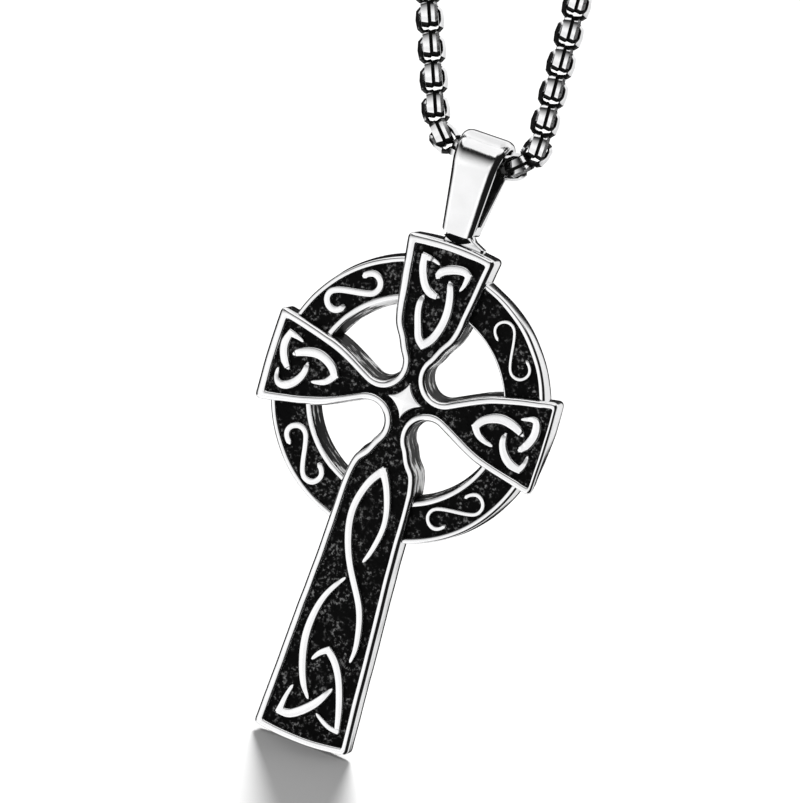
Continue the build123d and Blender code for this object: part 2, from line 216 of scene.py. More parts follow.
@dataclass
class Solid:
    """A mesh being drawn on the bench: points in millimetres, faces, and the zone of each face."""

    points: list[tuple[float, float, float]] = field(default_factory=list)
    faces: list[tuple[int, ...]] = field(default_factory=list)
    zones: list[int] = field(default_factory=list)

    def row(self, points: Iterable[Iterable[float]]) -> list[int]:
        """Adds points and returns their numbers."""
        first = len(self.points)
        self.points.extend(tuple(float(value) for value in point) for point in points)
        return list(range(first, len(self.points)))

    def face(self, corners: Iterable[int], zone: Zone = Zone.BRIGHT) -> None:
        """Adds one face."""
        self.faces.append(tuple(corners))
        self.zones.append(int(zone))

    def level(self, points: np.ndarray, height: float) -> list[int]:
        """Adds flat points at one height and returns their numbers."""
        return self.row(np.column_stack([points, np.full(len(points), height)]))

    def skin(self, below: list[int], above: list[int], zone: Zone = Zone.BRIGHT) -> None:
        """Joins two closed rows of as many points with four-sided faces."""
        for i in range(len(below)):
            j = (i + 1) % len(below)
            self.face((below[i], below[j], above[j], above[i]), zone)

    def pile(self, rows: list[list[int]], zone: Zone) -> None:
        """Joins closed rows from the lowest up and closes both ends."""
        for below, above in zip(rows, rows[1:]):
            self.skin(below, above, zone)
        self.face(rows[0][::-1], zone)
        self.face(rows[-1], zone)

    def to_object(self, name: str,
                  move: Callable[[np.ndarray], np.ndarray] | None = None) -> bpy.types.Object:
        """Makes an object of the mesh.

        Args:
            name: Name of the object.
            move: Takes the points and returns where they go, or None to leave them.

        Returns:
            The object, linked to the scene, with a whole number "zone" on each face.
        """
        points = np.array(self.points)
        mesh = bpy.data.meshes.new(name)
        mesh.from_pydata((points if move is None else move(points)).tolist(), [], self.faces)
        zone = mesh.attributes.new("zone", "INT", "FACE")
        zone.data.foreach_set("value", self.zones)
        mesh.shade_smooth()
        return linked(name, mesh)


@dataclass(frozen=True)
class Wobble:
    """Slight, smooth unevenness of a casting: its size, rate and start, and its share out of the face."""

    size: float
    rate: float
    start: tuple[float, float, float]
    lift: float
    flat_below: float = 0.5

    def move(self, points: np.ndarray) -> np.ndarray:
        """Moves points a little, and those of the back only along it."""
        moved = points.copy()
        for i, point in enumerate(points):
            shift = noise.noise_vector(Vector(point) * self.rate + Vector(self.start))
            lift = self.lift if point[2] > self.flat_below else 0.0
            moved[i] += self.size * np.array([shift.x, shift.y, shift.z * lift])
        return moved


def inside(points: np.ndarray, outline: np.ndarray) -> np.ndarray:
    """Tells which points lie within a closed outline."""
    held = np.zeros(len(points), bool)
    for (x0, y0), (x1, y1) in zip(outline, np.roll(outline, -1, axis=0)):
        crosses = (y0 > points[:, 1]) != (y1 > points[:, 1])
        if y0 == y1:
            continue
        held ^= crosses & (points[:, 0] < (x1 - x0) * (points[:, 1] - y0) / (y1 - y0) + x0)
    return held


def fused(base: bpy.types.Object, others: list[bpy.types.Object]) -> bpy.types.Mesh:
    """Unites closed meshes into one and takes the drawn ones away.

    Args:
        base: The mesh that the others join.
        others: The meshes that join it.

    Returns:
        The united mesh.
    """
    group = bpy.data.collections.new("joining")
    for other in others:
        group.objects.link(other)
    union = base.modifiers.new("union", "BOOLEAN")
    union.operation = "UNION"
    union.solver = "MANIFOLD"
    union.operand_type = "COLLECTION"
    union.collection = group
    mesh = plain_mesh(base)
    for gone in [base, *others]:
        bpy.data.objects.remove(gone)
    bpy.data.collections.remove(group)
    return mesh


def plain_mesh(source: bpy.types.Object) -> bpy.types.Mesh:
    """The object's shape as its modifiers leave it, as a mesh of its own."""
    graph = bpy.context.evaluated_depsgraph_get()
    return bpy.data.meshes.new_from_object(source.evaluated_get(graph), depsgraph=graph)


def guide_curve(name: str, points: np.ndarray) -> bpy.types.Object:
    """A curve of straight pieces through points."""
    curve = bpy.data.curves.new(name, "CURVE")
    curve.dimensions = "3D"
    spline = curve.splines.new("POLY")
    spline.points.add(len(points) - 1)
    spline.points.foreach_set("co", np.column_stack([points, np.ones(len(points))]).ravel())
    return linked(name, curve)


def run_nodes(guide: bpy.types.Object, tree: bpy.types.NodeTree, values: dict[str, Any]) -> bpy.types.Mesh:
    """Runs geometry nodes on a guide and takes the guide away.

    Args:
        guide: The object that the nodes start from.
        tree: The nodes.
        values: The value of each named input.

    Returns:
        The outcome as a mesh of its own.
    """
    modifier = guide.modifiers.new("nodes", "NODES")
    modifier.node_group = tree
    for item in tree.interface.items_tree:
        if item.in_out == "INPUT" and item.name in values:
            modifier[item.identifier] = values[item.name]
    mesh = plain_mesh(guide)
    bpy.data.objects.remove(guide)
    return mesh


def read_values(elements: Any, name: str, width: int = 1, kind: type = float) -> np.ndarray:
    """The value of one property of each element of a mesh, as rows where it is wider than 1."""
    values = np.empty(len(elements) * width, kind)
    elements.foreach_get(name, values)
    return values.reshape(-1, width) if width > 1 else values


def soften(mesh: bpy.types.Mesh, angle: float) -> None:
    """Shades a mesh smooth, with the edges sharper than the angle in degrees left crisp."""
    shape = bmesh.new()
    shape.from_mesh(mesh)
    limit = math.radians(angle)
    for part in shape.faces:
        part.smooth = True
    for edge in shape.edges:
        edge.smooth = len(edge.link_faces) != 2 or edge.calc_face_angle(math.pi) < limit
    shape.to_mesh(mesh)
    shape.free()


# Node helpers


class NodeSheet:
    """Adds nodes to a tree and joins their sockets."""

    def __init__(self, tree: bpy.types.NodeTree) -> None:
        """Keeps the tree."""
        self.tree = tree

    def add(self, kind: str, sockets: dict[str | int, Any] | None = None, **settings: Any) -> bpy.types.Node:
        """Adds a node.

        Args:
            kind: The node's type name.
            sockets: A value or an output socket for each named or numbered input.
            settings: Values of the node's own settings.

        Returns:
            The node.
        """
        node = self.tree.nodes.new(kind)
        for name, value in settings.items():
            setattr(node, name, value)
        self.feed(node, sockets or {})
        return node

    def feed(self, node: bpy.types.Node, sockets: dict[str | int, Any]) -> None:
        """Sets inputs of a node, or joins them to output sockets."""
        for key, value in sockets.items():
            if isinstance(value, bpy.types.NodeSocket):
                self.tree.links.new(value, node.inputs[key])
            else:
                node.inputs[key].default_value = value

    def sum(self, operation: str, first: Any, second: Any = 0.0, third: Any = 0.0) -> bpy.types.NodeSocket:
        """The outcome of one sum on numbers."""
        return self.out("ShaderNodeMath", {0: first, 1: second, 2: third}, operation=operation)

    def product(self, first: Any, *others: Any) -> bpy.types.NodeSocket:
        """Several values multiplied."""
        for other in others:
            first = self.sum("MULTIPLY", first, other)
        return first

    def out(self, kind: str, sockets: dict[str | int, Any] | None = None,
            **settings: Any) -> bpy.types.NodeSocket:
        """Adds a node and returns its first output."""
        return self.add(kind, sockets, **settings).outputs[0]

    def ease(self, value: Any, low: Any, high: Any, start: float = 0.0,
             end: float = 1.0) -> bpy.types.NodeSocket:
        """A soft step from start to end as the value goes from low to high."""
        sockets = {"Value": value, "From Min": low, "From Max": high, "To Min": start, "To Max": end}
        return self.add("ShaderNodeMapRange", sockets, interpolation_type="SMOOTHSTEP").outputs["Result"]

    def blend(self, share: Any, first: Any, second: Any) -> bpy.types.NodeSocket:
        """A colour between two."""
        node = self.add("ShaderNodeMix", {0: share, 6: first, 7: second}, data_type="RGBA")
        return node.outputs[2]

    def noise(self, vector: bpy.types.NodeSocket, scale: Any, detail: float,
              rough: float = 0.5) -> bpy.types.NodeSocket:
        """Even cloudy noise between 0 and 1."""
        sockets = {"Vector": vector, "Scale": scale, "Detail": detail, "Roughness": rough}
        return self.out("ShaderNodeTexNoise", sockets)

    def coat(self, shape: bpy.types.NodeSocket, metal: bpy.types.NodeSocket) -> None:
        """Makes a shape real, gives it a material and sends it out of geometry nodes."""
        whole = self.out("GeometryNodeRealizeInstances", {"Geometry": shape})
        coated = self.out("GeometryNodeSetMaterial", {"Geometry": whole, "Material": metal})
        self.add("NodeGroupOutput", {"Geometry": coated})


def open_tree(tree: bpy.types.NodeTree, inputs: dict[str, str]) -> None:
    """Gives geometry nodes their named inputs, each of a kind of socket, and their output."""
    for name, kind in inputs.items():
        tree.interface.new_socket(name, in_out="INPUT", socket_type="NodeSocket" + kind)
    tree.interface.new_socket("Geometry", in_out="OUTPUT", socket_type="NodeSocketGeometry")


def grey(value: float, blue: float = 0.0) -> tuple[float, float, float, float]:
    """A grey with a trace of blue."""
    return value, value, value + blue, 1.0


def effect_group(name: str, inputs: dict[str, tuple[str, float]], outputs: dict[str, str]) -> tuple[
        bpy.types.NodeTree, NodeSheet, dict[str, bpy.types.NodeSocket], bpy.types.Node]:
    """Starts a shared shader effect.

    Args:
        name: Name of the node group.
        inputs: Type and first value of each named input.
        outputs: Type of each named output.

    Returns:
        The group, its sheet, its input values by name and its output node.
    """
    tree = bpy.data.node_groups.new(name, "ShaderNodeTree")
    for label, (kind, value) in inputs.items():
        socket = tree.interface.new_socket(label, in_out="INPUT", socket_type=kind)
        if kind == "NodeSocketFloat":
            socket.default_value = value
    for label, kind in outputs.items():
        tree.interface.new_socket(label, in_out="OUTPUT", socket_type=kind)
    sheet = NodeSheet(tree)
    given = sheet.add("NodeGroupInput")
    values = {label: given.outputs[label] for label in inputs}
    return tree, sheet, values, sheet.add("NodeGroupOutput")


@dataclass
class Effects:
    """The shader effects that several finishes share."""

    ripple: bpy.types.NodeTree = field(init=False)
    grain: bpy.types.NodeTree = field(init=False)

    def __post_init__(self) -> None:
        """Builds each group once."""
        self.ripple = self.build_ripple()
        self.grain = self.build_grain()

    def build_ripple(self) -> bpy.types.NodeTree:
        """Gives the slightly uneven surface of hand-polished metal, as a normal and a roughness."""
        tree, sheet, given, end = effect_group(
            "hand_polish",
            {"Place": ("NodeSocketVector", 0), "Size": ("NodeSocketFloat", 1.6),
             "Depth": ("NodeSocketFloat", 0.02), "Gloss": ("NodeSocketFloat", 0.12),
             "Haze": ("NodeSocketFloat", 0.1)},
            {"Normal": "NodeSocketVector", "Roughness": "NodeSocketFloat"})
        waves = sheet.noise(given["Place"], sheet.sum("DIVIDE", 1 / MM, given["Size"]), 2.0)
        fine = sheet.noise(given["Place"], sheet.sum("DIVIDE", 9 / MM, given["Size"]), 3.0)
        height = sheet.sum("MULTIPLY_ADD", fine, 0.08, waves)
        depth = sheet.sum("MULTIPLY", given["Depth"], MM)
        bump = sheet.out("ShaderNodeBump", {"Strength": 1.0, "Distance": depth, "Height": height})
        rough = sheet.sum("MULTIPLY_ADD", sheet.ease(fine, 0.45, 0.75), given["Haze"], given["Gloss"])
        sheet.feed(end, {"Normal": bump, "Roughness": rough})
        return tree

    def build_grain(self) -> bpy.types.NodeTree:
        """Gives the speckled grain of a blackened, stippled floor, as a mask and a normal."""
        tree, sheet, given, end = effect_group(
            "stipple_grain",
            {"Place": ("NodeSocketVector", 0), "Size": ("NodeSocketFloat", 0.3),
             "Depth": ("NodeSocketFloat", 0.03)},
            {"Speck": "NodeSocketFloat", "Normal": "NodeSocketVector"})
        scale = sheet.sum("DIVIDE", 1 / MM, given["Size"])
        clusters = sheet.noise(given["Place"], sheet.sum("MULTIPLY", scale, 0.3), 2.0)
        specks = sheet.noise(given["Place"], scale, 3.0, 0.65)
        strong = sheet.ease(specks, 0.5, 0.68)
        here = sheet.ease(clusters, 0.4, 0.6)
        depth = sheet.sum("MULTIPLY", given["Depth"], MM)
        bump = sheet.out("ShaderNodeBump", {"Strength": 1.0, "Distance": depth, "Height": specks})
        sheet.feed(end, {"Speck": sheet.sum("MULTIPLY", strong, here), "Normal": bump})
        return tree


@dataclass(frozen=True)
class Finish:
    """A finish that its own build method turns into a material."""

    name: str

    def start(self) -> tuple[bpy.types.Material, NodeSheet, bpy.types.Node, bpy.types.NodeSocket]:
        """Makes an empty material.

        Returns:
            The material, its sheet, its shader and the object coordinates.
        """
        material = bpy.data.materials.new(self.name)
        material.use_nodes = True
        material.node_tree.nodes.clear()
        sheet = NodeSheet(material.node_tree)
        shader = sheet.add("ShaderNodeBsdfPrincipled")
        sheet.add("ShaderNodeOutputMaterial", {"Surface": shader.outputs[0]})
        place = sheet.add("ShaderNodeTexCoord").outputs["Object"]
        return material, sheet, shader, place


@dataclass(frozen=True)
class PolishedSteel(Finish):
    """Polished steel with a soft cast waviness, darkened with painted shade where its shade attribute says.
    """

    tone: float = 0.86
    gloss: float = 0.1
    haze: float = 0.08
    wave_size: float = 1.6
    wave_depth: float = 0.02
    # Colour and added roughness where painted shade lies.
    painted_shade_tone: float = 0.008
    painted_shade_haze: float = 0.35

    def build(self, effects: Effects) -> bpy.types.Material:
        """Makes the material."""
        material, sheet, shader, place = self.start()
        polish = sheet.add("ShaderNodeGroup", node_tree=effects.ripple)
        sheet.feed(polish, {"Place": place, "Size": self.wave_size, "Depth": self.wave_depth,
                            "Gloss": self.gloss, "Haze": self.haze})
        cloud = sheet.ease(sheet.noise(place, 0.5 / MM, 3.0), 0.3, 0.7)
        steel = sheet.blend(cloud, grey(self.tone * 0.95, 0.004), grey(self.tone, 0.006))
        # Painted shade: the shade attribute, broken up by noise, turns the steel black, duller and less
        # metallic. It stands for shade in crevices and for dark reflections.
        soot = sheet.add("ShaderNodeAttribute", attribute_name="soot").outputs["Fac"]
        patchy = sheet.sum("MULTIPLY_ADD", sheet.noise(place, 2.2 / MM, 3.0, 0.6), 0.5, -0.25)
        mask = sheet.ease(sheet.sum("ADD", soot, patchy), 0.38, 0.62)
        rough = sheet.sum("ADD", polish.outputs["Roughness"], sheet.sum("MULTIPLY", mask, self.painted_shade_haze))
        sheet.feed(shader, {
            "Base Color": sheet.blend(mask, steel, grey(self.painted_shade_tone)),
            "Metallic": sheet.sum("SUBTRACT", 1.0, mask),
            "Specular IOR Level": 0.12,
            "Roughness": rough,
            "Normal": polish.outputs["Normal"]})
        return material


@dataclass(frozen=True)
class BlackStipple(Finish):
    """Blackened, stippled floor of a recess, with grey specks where its points have been rubbed."""

    grain_size: float = 0.38
    grain_depth: float = 0.05
    black: float = 0.004
    speck: float = 0.2

    def build(self, effects: Effects) -> bpy.types.Material:
        """Makes the material."""
        material, sheet, shader, place = self.start()
        grain = sheet.add("ShaderNodeGroup", node_tree=effects.grain)
        sheet.feed(grain, {"Place": place, "Size": self.grain_size, "Depth": self.grain_depth})
        mask = grain.outputs["Speck"]
        sheet.feed(shader, {
            "Base Color": sheet.blend(mask, grey(self.black), grey(self.speck)),
            "Metallic": sheet.sum("MULTIPLY", mask, 0.8),
            "Roughness": sheet.sum("MULTIPLY_ADD", mask, -0.15, 0.5),
            "Specular IOR Level": 0.03,
            "Normal": grain.outputs["Normal"]})
        return material


@dataclass(frozen=True)
class SatinCast(Finish):
    """Unpolished cast steel, grey and a little rough, with dark streaks, pushed darker by painted shade where
    spread lets the shade attribute in.
    """

    light: float = 0.5
    dark: float = 0.08
    streaks: float = 0.5
    roughness: float = 0.3
    stretch: tuple[float, float, float] = (1.0, 1.0, 1.0)
    spread: float = 0.0
    metallic: float = 1.0
    contrast: float = 1.0

    def build(self, effects: Effects) -> bpy.types.Material:
        """Makes the material."""
        material, sheet, shader, place = self.start()
        grain = sheet.add("ShaderNodeGroup", node_tree=effects.grain)
        sheet.feed(grain, {"Place": place, "Size": 0.5, "Depth": 0.02})
        drawn = sheet.out("ShaderNodeMapping", {"Vector": place, "Scale": self.stretch})
        cloud = sheet.noise(drawn, 0.9 / MM, 4.0, 0.65)
        soot = sheet.add("ShaderNodeAttribute", attribute_name="soot").outputs["Fac"]
        stronger = sheet.sum("MULTIPLY_ADD", cloud, self.contrast, 0.5 - 0.5 * self.contrast)
        # Painted shade: spread lets the shade attribute push the streaks darker.
        raised = sheet.sum("MULTIPLY_ADD", soot, self.spread, stronger)
        mask = sheet.ease(raised, self.streaks - 0.12, self.streaks + 0.14)
        sheet.feed(shader, {
            "Base Color": sheet.blend(mask, grey(self.light), grey(self.dark)),
            "Metallic": sheet.sum("MULTIPLY", sheet.sum("SUBTRACT", 1.0, mask), self.metallic),
            "Specular IOR Level": 0.08,
            "Roughness": sheet.sum("MULTIPLY_ADD", cloud, 0.25, self.roughness),
            "Normal": grain.outputs["Normal"]})
        return material


@dataclass(frozen=True)
class BrushedSteel(Finish):
    """Finely brushed steel, its lines running along the clasp."""

    tone: float = 0.78
    roughness: float = 0.2

    def build(self, effects: Effects) -> bpy.types.Material:
        """Makes the material."""
        material, sheet, shader, place = self.start()
        turned = sheet.out("ShaderNodeMapping", {"Vector": place, "Scale": (0.05, 1.0, 1.0)})
        lines = sheet.noise(turned, 9 / MM, 3.0, 0.6)
        polish = sheet.add("ShaderNodeGroup", node_tree=effects.ripple)
        sheet.feed(polish, {"Place": place, "Size": 2.5, "Depth": 0.01, "Gloss": self.roughness,
                            "Haze": 0.05})
        bump = sheet.out("ShaderNodeBump", {"Strength": 0.6, "Distance": 0.01 * MM, "Height": lines,
                                            "Normal": polish.outputs["Normal"]})
        sheet.feed(shader, {
            "Base Color": sheet.blend(lines, grey(self.tone * 0.85), grey(self.tone)),
            "Metallic": 1.0,
            "Roughness": sheet.sum("MULTIPLY_ADD", lines, 0.15, polish.outputs["Roughness"]),
            "Normal": bump})
        return material


# The casting


@dataclass(frozen=True)
class Placing:
    """Where the casting hangs: the bail's seat on the chain and the casting's own directions."""

    seat: np.ndarray
    across: np.ndarray
    up: np.ndarray
    out: np.ndarray
    seat_height: float
    mid_depth: float

    @classmethod
    def from_record(cls, record: dict[str, Any], seat_height: float, mid_depth: float) -> Placing:
        """Reads the seat from the record's swing joint, whose axis runs across the casting."""
        joint = record["behaviour"]["joints"][0]
        across = np.array(joint["axis"], float)
        across /= np.linalg.norm(across)
        out = np.array([0.0, -1.0, 0.0])
        seat = np.array(joint["pos_m"], float)
        return cls(seat, across, np.cross(out, across), out, seat_height, mid_depth)

    def to_world(self, points: np.ndarray) -> np.ndarray:
        """Takes points on the bench, in millimetres, to their place, in metres."""
        return self.seat + MM * (points[:, :1] * self.across + (points[:, 1:2] - self.seat_height) * self.up
                                 + (points[:, 2:3] - self.mid_depth) * self.out)


@dataclass(frozen=True)
class Flare:
    """Half width of an arm, and how far along the arm it is, both as shares."""

    along: float
    half: float


@dataclass(frozen=True)
class Arm:
    """One kind of arm: its reach, its half width at the end, the swell of its end and its flare."""

    reach: float
    half: float
    bulge: float
    flare: tuple[Flare, ...]


SIDE_ARM = Arm(15.1, 4.9, 0.15, (
    Flare(1.0, 1.0), Flare(0.795, 0.874), Flare(0.662, 0.775), Flare(0.53, 0.642), Flare(0.43, 0.495)))
TOP_ARM = Arm(16.2, 4.7, 0.45, (
    Flare(1.0, 1.0), Flare(0.864, 0.936), Flare(0.741, 0.883), Flare(0.617, 0.819), Flare(0.494, 0.745),
    Flare(0.432, 0.67), Flare(0.37, 0.532)))
FOOT_ARM = Arm(36.3, 5.1, 0.5, (
    Flare(1.0, 1.0), Flare(0.833, 0.931), Flare(0.694, 0.882), Flare(0.556, 0.824), Flare(0.417, 0.775),
    Flare(0.278, 0.745), Flare(0.211, 0.686), Flare(0.183, 0.608), Flare(0.161, 0.48)))


@dataclass
class Outline:
    """A closed outline of smooth runs that meet in corners, counter-clockwise."""

    runs: list[Run]
    fan: int = 5
    top_swell: float = 0.3
    left_swell: float = 0.2
    right_thinning: float = 0.42
    top_arm: Ramp = Ramp(6.5, 4.0)
    top_right: Ramp = Ramp(2.0, 2.5)
    top_right_loss: float = 0.7
    left_end: Ramp = Ramp(-6.0, -3.0)
    right_end: Ramp = Ramp(13.5, 1.2)
    opening: Ramp = Ramp(10.4, -0.8)
    wall_facing: Ramp = Ramp(0.35, -1.0)
    right_half: Ramp = Ramp(-1.5, 3.0)
    right_loss: float = 0.4
    growth: float = 0.15
    growth_reach: float = 0.8
    growth_facing: float = 1.5
    opening_growth: float = 0.6
    end_undercut: float = 0.9
    end_across: Ramp = Ramp(12.0, 2.0)
    end_down: Ramp = Ramp(1.5, -5.0)
    shaft_undercut: float = 0.2
    shaft_facing: float = -0.8
    shaft_top: float = -9.0

    def moved(self, inset: float, rounding: float, spread: float = 0.0) -> np.ndarray:
        """Moves the outline inwards and rounds its corners.

        Args:
            inset: How far inwards.
            rounding: Radius of the corners.
            spread: How far the walls of the left openings stand out here, where they face up.

        Returns:
            As many points for any inset.
        """
        shifted = []
        for run in self.runs:
            across = np.stack([-run.ways[:, 1], run.ways[:, 0]], axis=1)
            x, y = run.points.T
            within = self.opening.at(np.hypot(x, y))
            wall = within * self.wall_facing.at(across[:, 1])
            undercut = self.end_undercut * self.end_across.at(x) * self.end_down.at(y)
            undercut += self.shaft_undercut * (across[:, 0] < self.shaft_facing) * (y < self.shaft_top)
            left = 1 - self.right_loss * self.right_half.at(x)
            facing = np.clip(across[:, 0] * self.growth_facing, 0, 1)
            growth = self.growth * np.maximum(facing, self.opening_growth * within)
            out = spread * (wall * left - undercut) + growth * max(0.0, 1 - inset / self.growth_reach)
            shifted.append(run.points + (inset * self.swell(run.points) - out[:, None]) * across)
        rows = []
        for i, run in enumerate(self.runs):
            rows.append(shifted[i])
            after = (i + 1) % len(self.runs)
            way_on = self.runs[after].ways[0]
            rows.append(self.corner(shifted[i][-1], run.ways[-1], shifted[after][0], way_on, rounding))
        return np.concatenate(rows)

    def swell(self, points: np.ndarray) -> np.ndarray:
        """How much wider the rim is: more on the top and left arms, less at the right arm's end."""
        x, y = points.T
        top = self.top_swell * self.top_arm.at(y) * (1 - self.top_right_loss * self.top_right.at(x))
        wide = 1 + top + self.left_swell * self.left_end.at(x) - self.right_thinning * self.right_end.at(x)
        return wide[:, None]

    def corner(self, leave: np.ndarray, way: np.ndarray, meet: np.ndarray, way_on: np.ndarray,
               rounding: float) -> np.ndarray:
        """Points round the corner between two straight ends."""
        far, _ = np.linalg.solve(np.stack([way, way_on], axis=1), meet - leave)
        tip = leave + far * way
        turn = math.atan2(way[0] * way_on[1] - way[1] * way_on[0], float(way @ way_on))
        left = np.array([-way[1], way[0]])
        centre = tip - way * rounding * math.tan(turn / 2) + left * rounding
        angles = np.linspace(0, turn, self.fan)[:, None]
        return centre - rounding * (left * np.cos(angles) - way * np.sin(angles))


def trimmed(run: Run, margin: float) -> Run:
    """Leaves out the points nearer than margin to the run's ends."""
    lengths = lengths_along(run.points)
    kept = (lengths > margin) & (lengths < lengths[-1] - margin)
    return Run(run.points[kept], run.ways[kept], run.shares[kept])


def joined(runs: list[Run]) -> Run:
    """One run of several that follow each other, each meeting point kept once."""
    points = np.concatenate([runs[0].points] + [run.points[1:] for run in runs[1:]])
    ways = np.concatenate([runs[0].ways] + [run.ways[1:] for run in runs[1:]])
    return Run(points, ways, np.linspace(0, 1, len(points)))


@dataclass(frozen=True)
class RimRow:
    """One line of a rim's section: how far in from the outline, how high, and the finish up to the next."""

    inset: float
    height: float
    zone: Zone = Zone.BRIGHT


@dataclass
class ArmsBlank:
    """The four arms: a raised rim round a stippled recess on a flat-backed body."""

    thickness: float = 3.0
    relief: float = 0.5
    rim_width: float = 0.77
    shoulder: float = 0.36
    shoulder_drop: float = 0.5
    bulb_radius: float = 2.08
    bulb_across: float = 3.35
    bulb_up: float = 3.15
    side_slope: float = 26.0
    shaft_slope: float = 36.0
    step: float = 0.28
    corner_radius: float = 0.5
    inner_corner_radius: float = 0.16
    wall_spread: float = 0.45
    wall_height: float = 2.4
    corner_margin: float = 1.15
    wobble: Wobble = Wobble(0.03, 0.45, (0.0, 0.0, 0.0), 0.35)
    stipple: float = 0.05
    stipple_spacing: float = 0.18
    stipple_scatter: float = 0.3
    stipple_margin: float = 0.1
    seed: int = 11

    def quarter(self, arm: Arm) -> Run:
        """The edge from the side arm's corner inwards, round the bulb and out to this arm's corner."""
        side_turn, shaft_turn = math.radians(self.side_slope), math.radians(self.shaft_slope)
        side_joint = (self.bulb_across + self.bulb_radius * math.sin(side_turn),
                      self.bulb_up - self.bulb_radius * math.cos(side_turn))
        shaft_joint = (self.bulb_across - self.bulb_radius * math.cos(shaft_turn),
                       self.bulb_up + self.bulb_radius * math.sin(shaft_turn))
        side_points = [(row.along * SIDE_ARM.reach, row.half * SIDE_ARM.half) for row in SIDE_ARM.flare]
        side_knots = np.array(side_points + [side_joint])
        shaft_points = [(row.half * arm.half, row.along * arm.reach) for row in arm.flare]
        shaft_knots = np.array(shaft_points + [shaft_joint])
        side_end = np.array([-math.cos(side_turn), -math.sin(side_turn)])
        shaft_end = np.array([-math.sin(shaft_turn), -math.cos(shaft_turn)])
        side = smooth_run(side_knots, self.step, side_knots[1] - side_knots[0], side_end)
        shaft = smooth_run(shaft_knots, self.step, shaft_knots[1] - shaft_knots[0], shaft_end)
        back = Run(shaft.points[::-1], -shaft.ways[::-1], (1 - shaft.shares)[::-1])
        bulb = arc_run((self.bulb_across, self.bulb_up), self.bulb_radius, 270 + self.side_slope,
                       180 - self.shaft_slope, self.step)
        return joined([side, bulb, back])

    def outline(self) -> Outline:
        """The whole outline, counter-clockwise from the upper corner of the right arm."""
        upper = trimmed(self.quarter(TOP_ARM), self.corner_margin)
        lower = trimmed(self.quarter(FOOT_ARM), self.corner_margin).mirrored(1)
        ends = []
        for turn, arm in enumerate((SIDE_ARM, TOP_ARM, SIDE_ARM, FOOT_ARM)):
            first, last = np.array([arm.reach, -arm.half]), np.array([arm.reach, arm.half])
            run = trimmed(bowed_run(first, last, arm.bulge, self.step), self.corner_margin)
            spin = turn_matrix(90 * turn)
            ends.append(Run(run.points @ spin.T, run.ways @ spin.T, run.shares))
        quarters = [upper, upper.mirrored(0), lower.mirrored(0), lower]
        return Outline([run for pair in zip(quarters, ends[1:] + ends[:1]) for run in pair])

    def rim_rows(self) -> list[RimRow]:
        """The rim's section from the edge of the back, over the rim, down to the recess."""
        top = self.thickness
        floor = top - self.relief
        rows = [RimRow(0.14, 0.0), RimRow(0.04, 0.04), RimRow(0.0, 0.14), RimRow(0.0, 0.9), RimRow(0.0, 1.5),
                RimRow(0.0, 2.1), RimRow(0.0, top - self.shoulder_drop)]
        for degrees in (15, 30, 45, 60, 75):
            angle = math.radians(degrees)
            rows.append(RimRow(self.shoulder * (1 - math.cos(angle)),
                               top - self.shoulder_drop * (1 - math.sin(angle))))
        rows += [RimRow(self.shoulder, top), RimRow(0.48, top), RimRow(0.61, top - 0.02),
                 RimRow(0.67, top - 0.07), RimRow(0.7, top - 0.14, Zone.ARMS_RELIEF),
                 RimRow(0.73, top - 0.26, Zone.ARMS_RELIEF), RimRow(0.75, top - 0.38, Zone.ARMS_RELIEF),
                 RimRow(self.rim_width, floor, Zone.ARMS_FLOOR)]
        return rows

    def build(self) -> bpy.types.Object:
        """Draws the arms as one closed mesh."""
        solid = Solid()
        outline = self.outline()
        rows = self.rim_rows()
        numbers = []
        for row in rows:
            rounding = np.interp(row.inset, [0, self.rim_width],
                                 [self.corner_radius, self.inner_corner_radius])
            spread = self.wall_spread * max(0.0, 1 - row.height / self.wall_height)
            flat = outline.moved(row.inset, float(rounding), spread)
            numbers.append(solid.level(flat, row.height))
        for row, below, above in zip(rows, numbers, numbers[1:]):
            solid.skin(below, above, row.zone)
        solid.face(numbers[0][::-1], Zone.BACK)
        self.lay_floor(solid, outline, numbers[-1])
        return solid.to_object("arms", self.wobble.move)

    def lay_floor(self, solid: Solid, outline: Outline, border: list[int]) -> None:
        """Fills the recess with a stippled floor of small faces."""
        floor = self.thickness - self.relief
        edge = outline.moved(self.rim_width, self.inner_corner_radius)
        fence = outline.moved(self.rim_width + self.stipple_margin, self.inner_corner_radius)
        random = np.random.default_rng(self.seed)
        spacing = self.stipple_spacing
        xs = np.arange(edge[:, 0].min(), edge[:, 0].max(), spacing)
        ys = np.arange(edge[:, 1].min(), edge[:, 1].max(), spacing)
        grid = np.stack(np.meshgrid(xs, ys), axis=-1).reshape(-1, 2)
        scatter = self.stipple_scatter
        grid = grid + random.uniform(-scatter, scatter, grid.shape) * spacing
        grid = grid[inside(grid, fence)]
        inner = solid.row(np.column_stack([grid, floor + stippled(random, len(grid), self.stipple)]))
        flat = [Vector(point) for point in np.concatenate([edge, grid])]
        count = len(edge)
        ring = [(i, (i + 1) % count) for i in range(count)]
        _, _, faces, origins, _, _ = geometry.delaunay_2d_cdt(flat, ring, [list(range(count))], 1, 1e-6)
        numbers = border + inner
        for corners in faces:
            solid.face([numbers[origins[corner][0]] for corner in corners], Zone.ARMS_FLOOR)


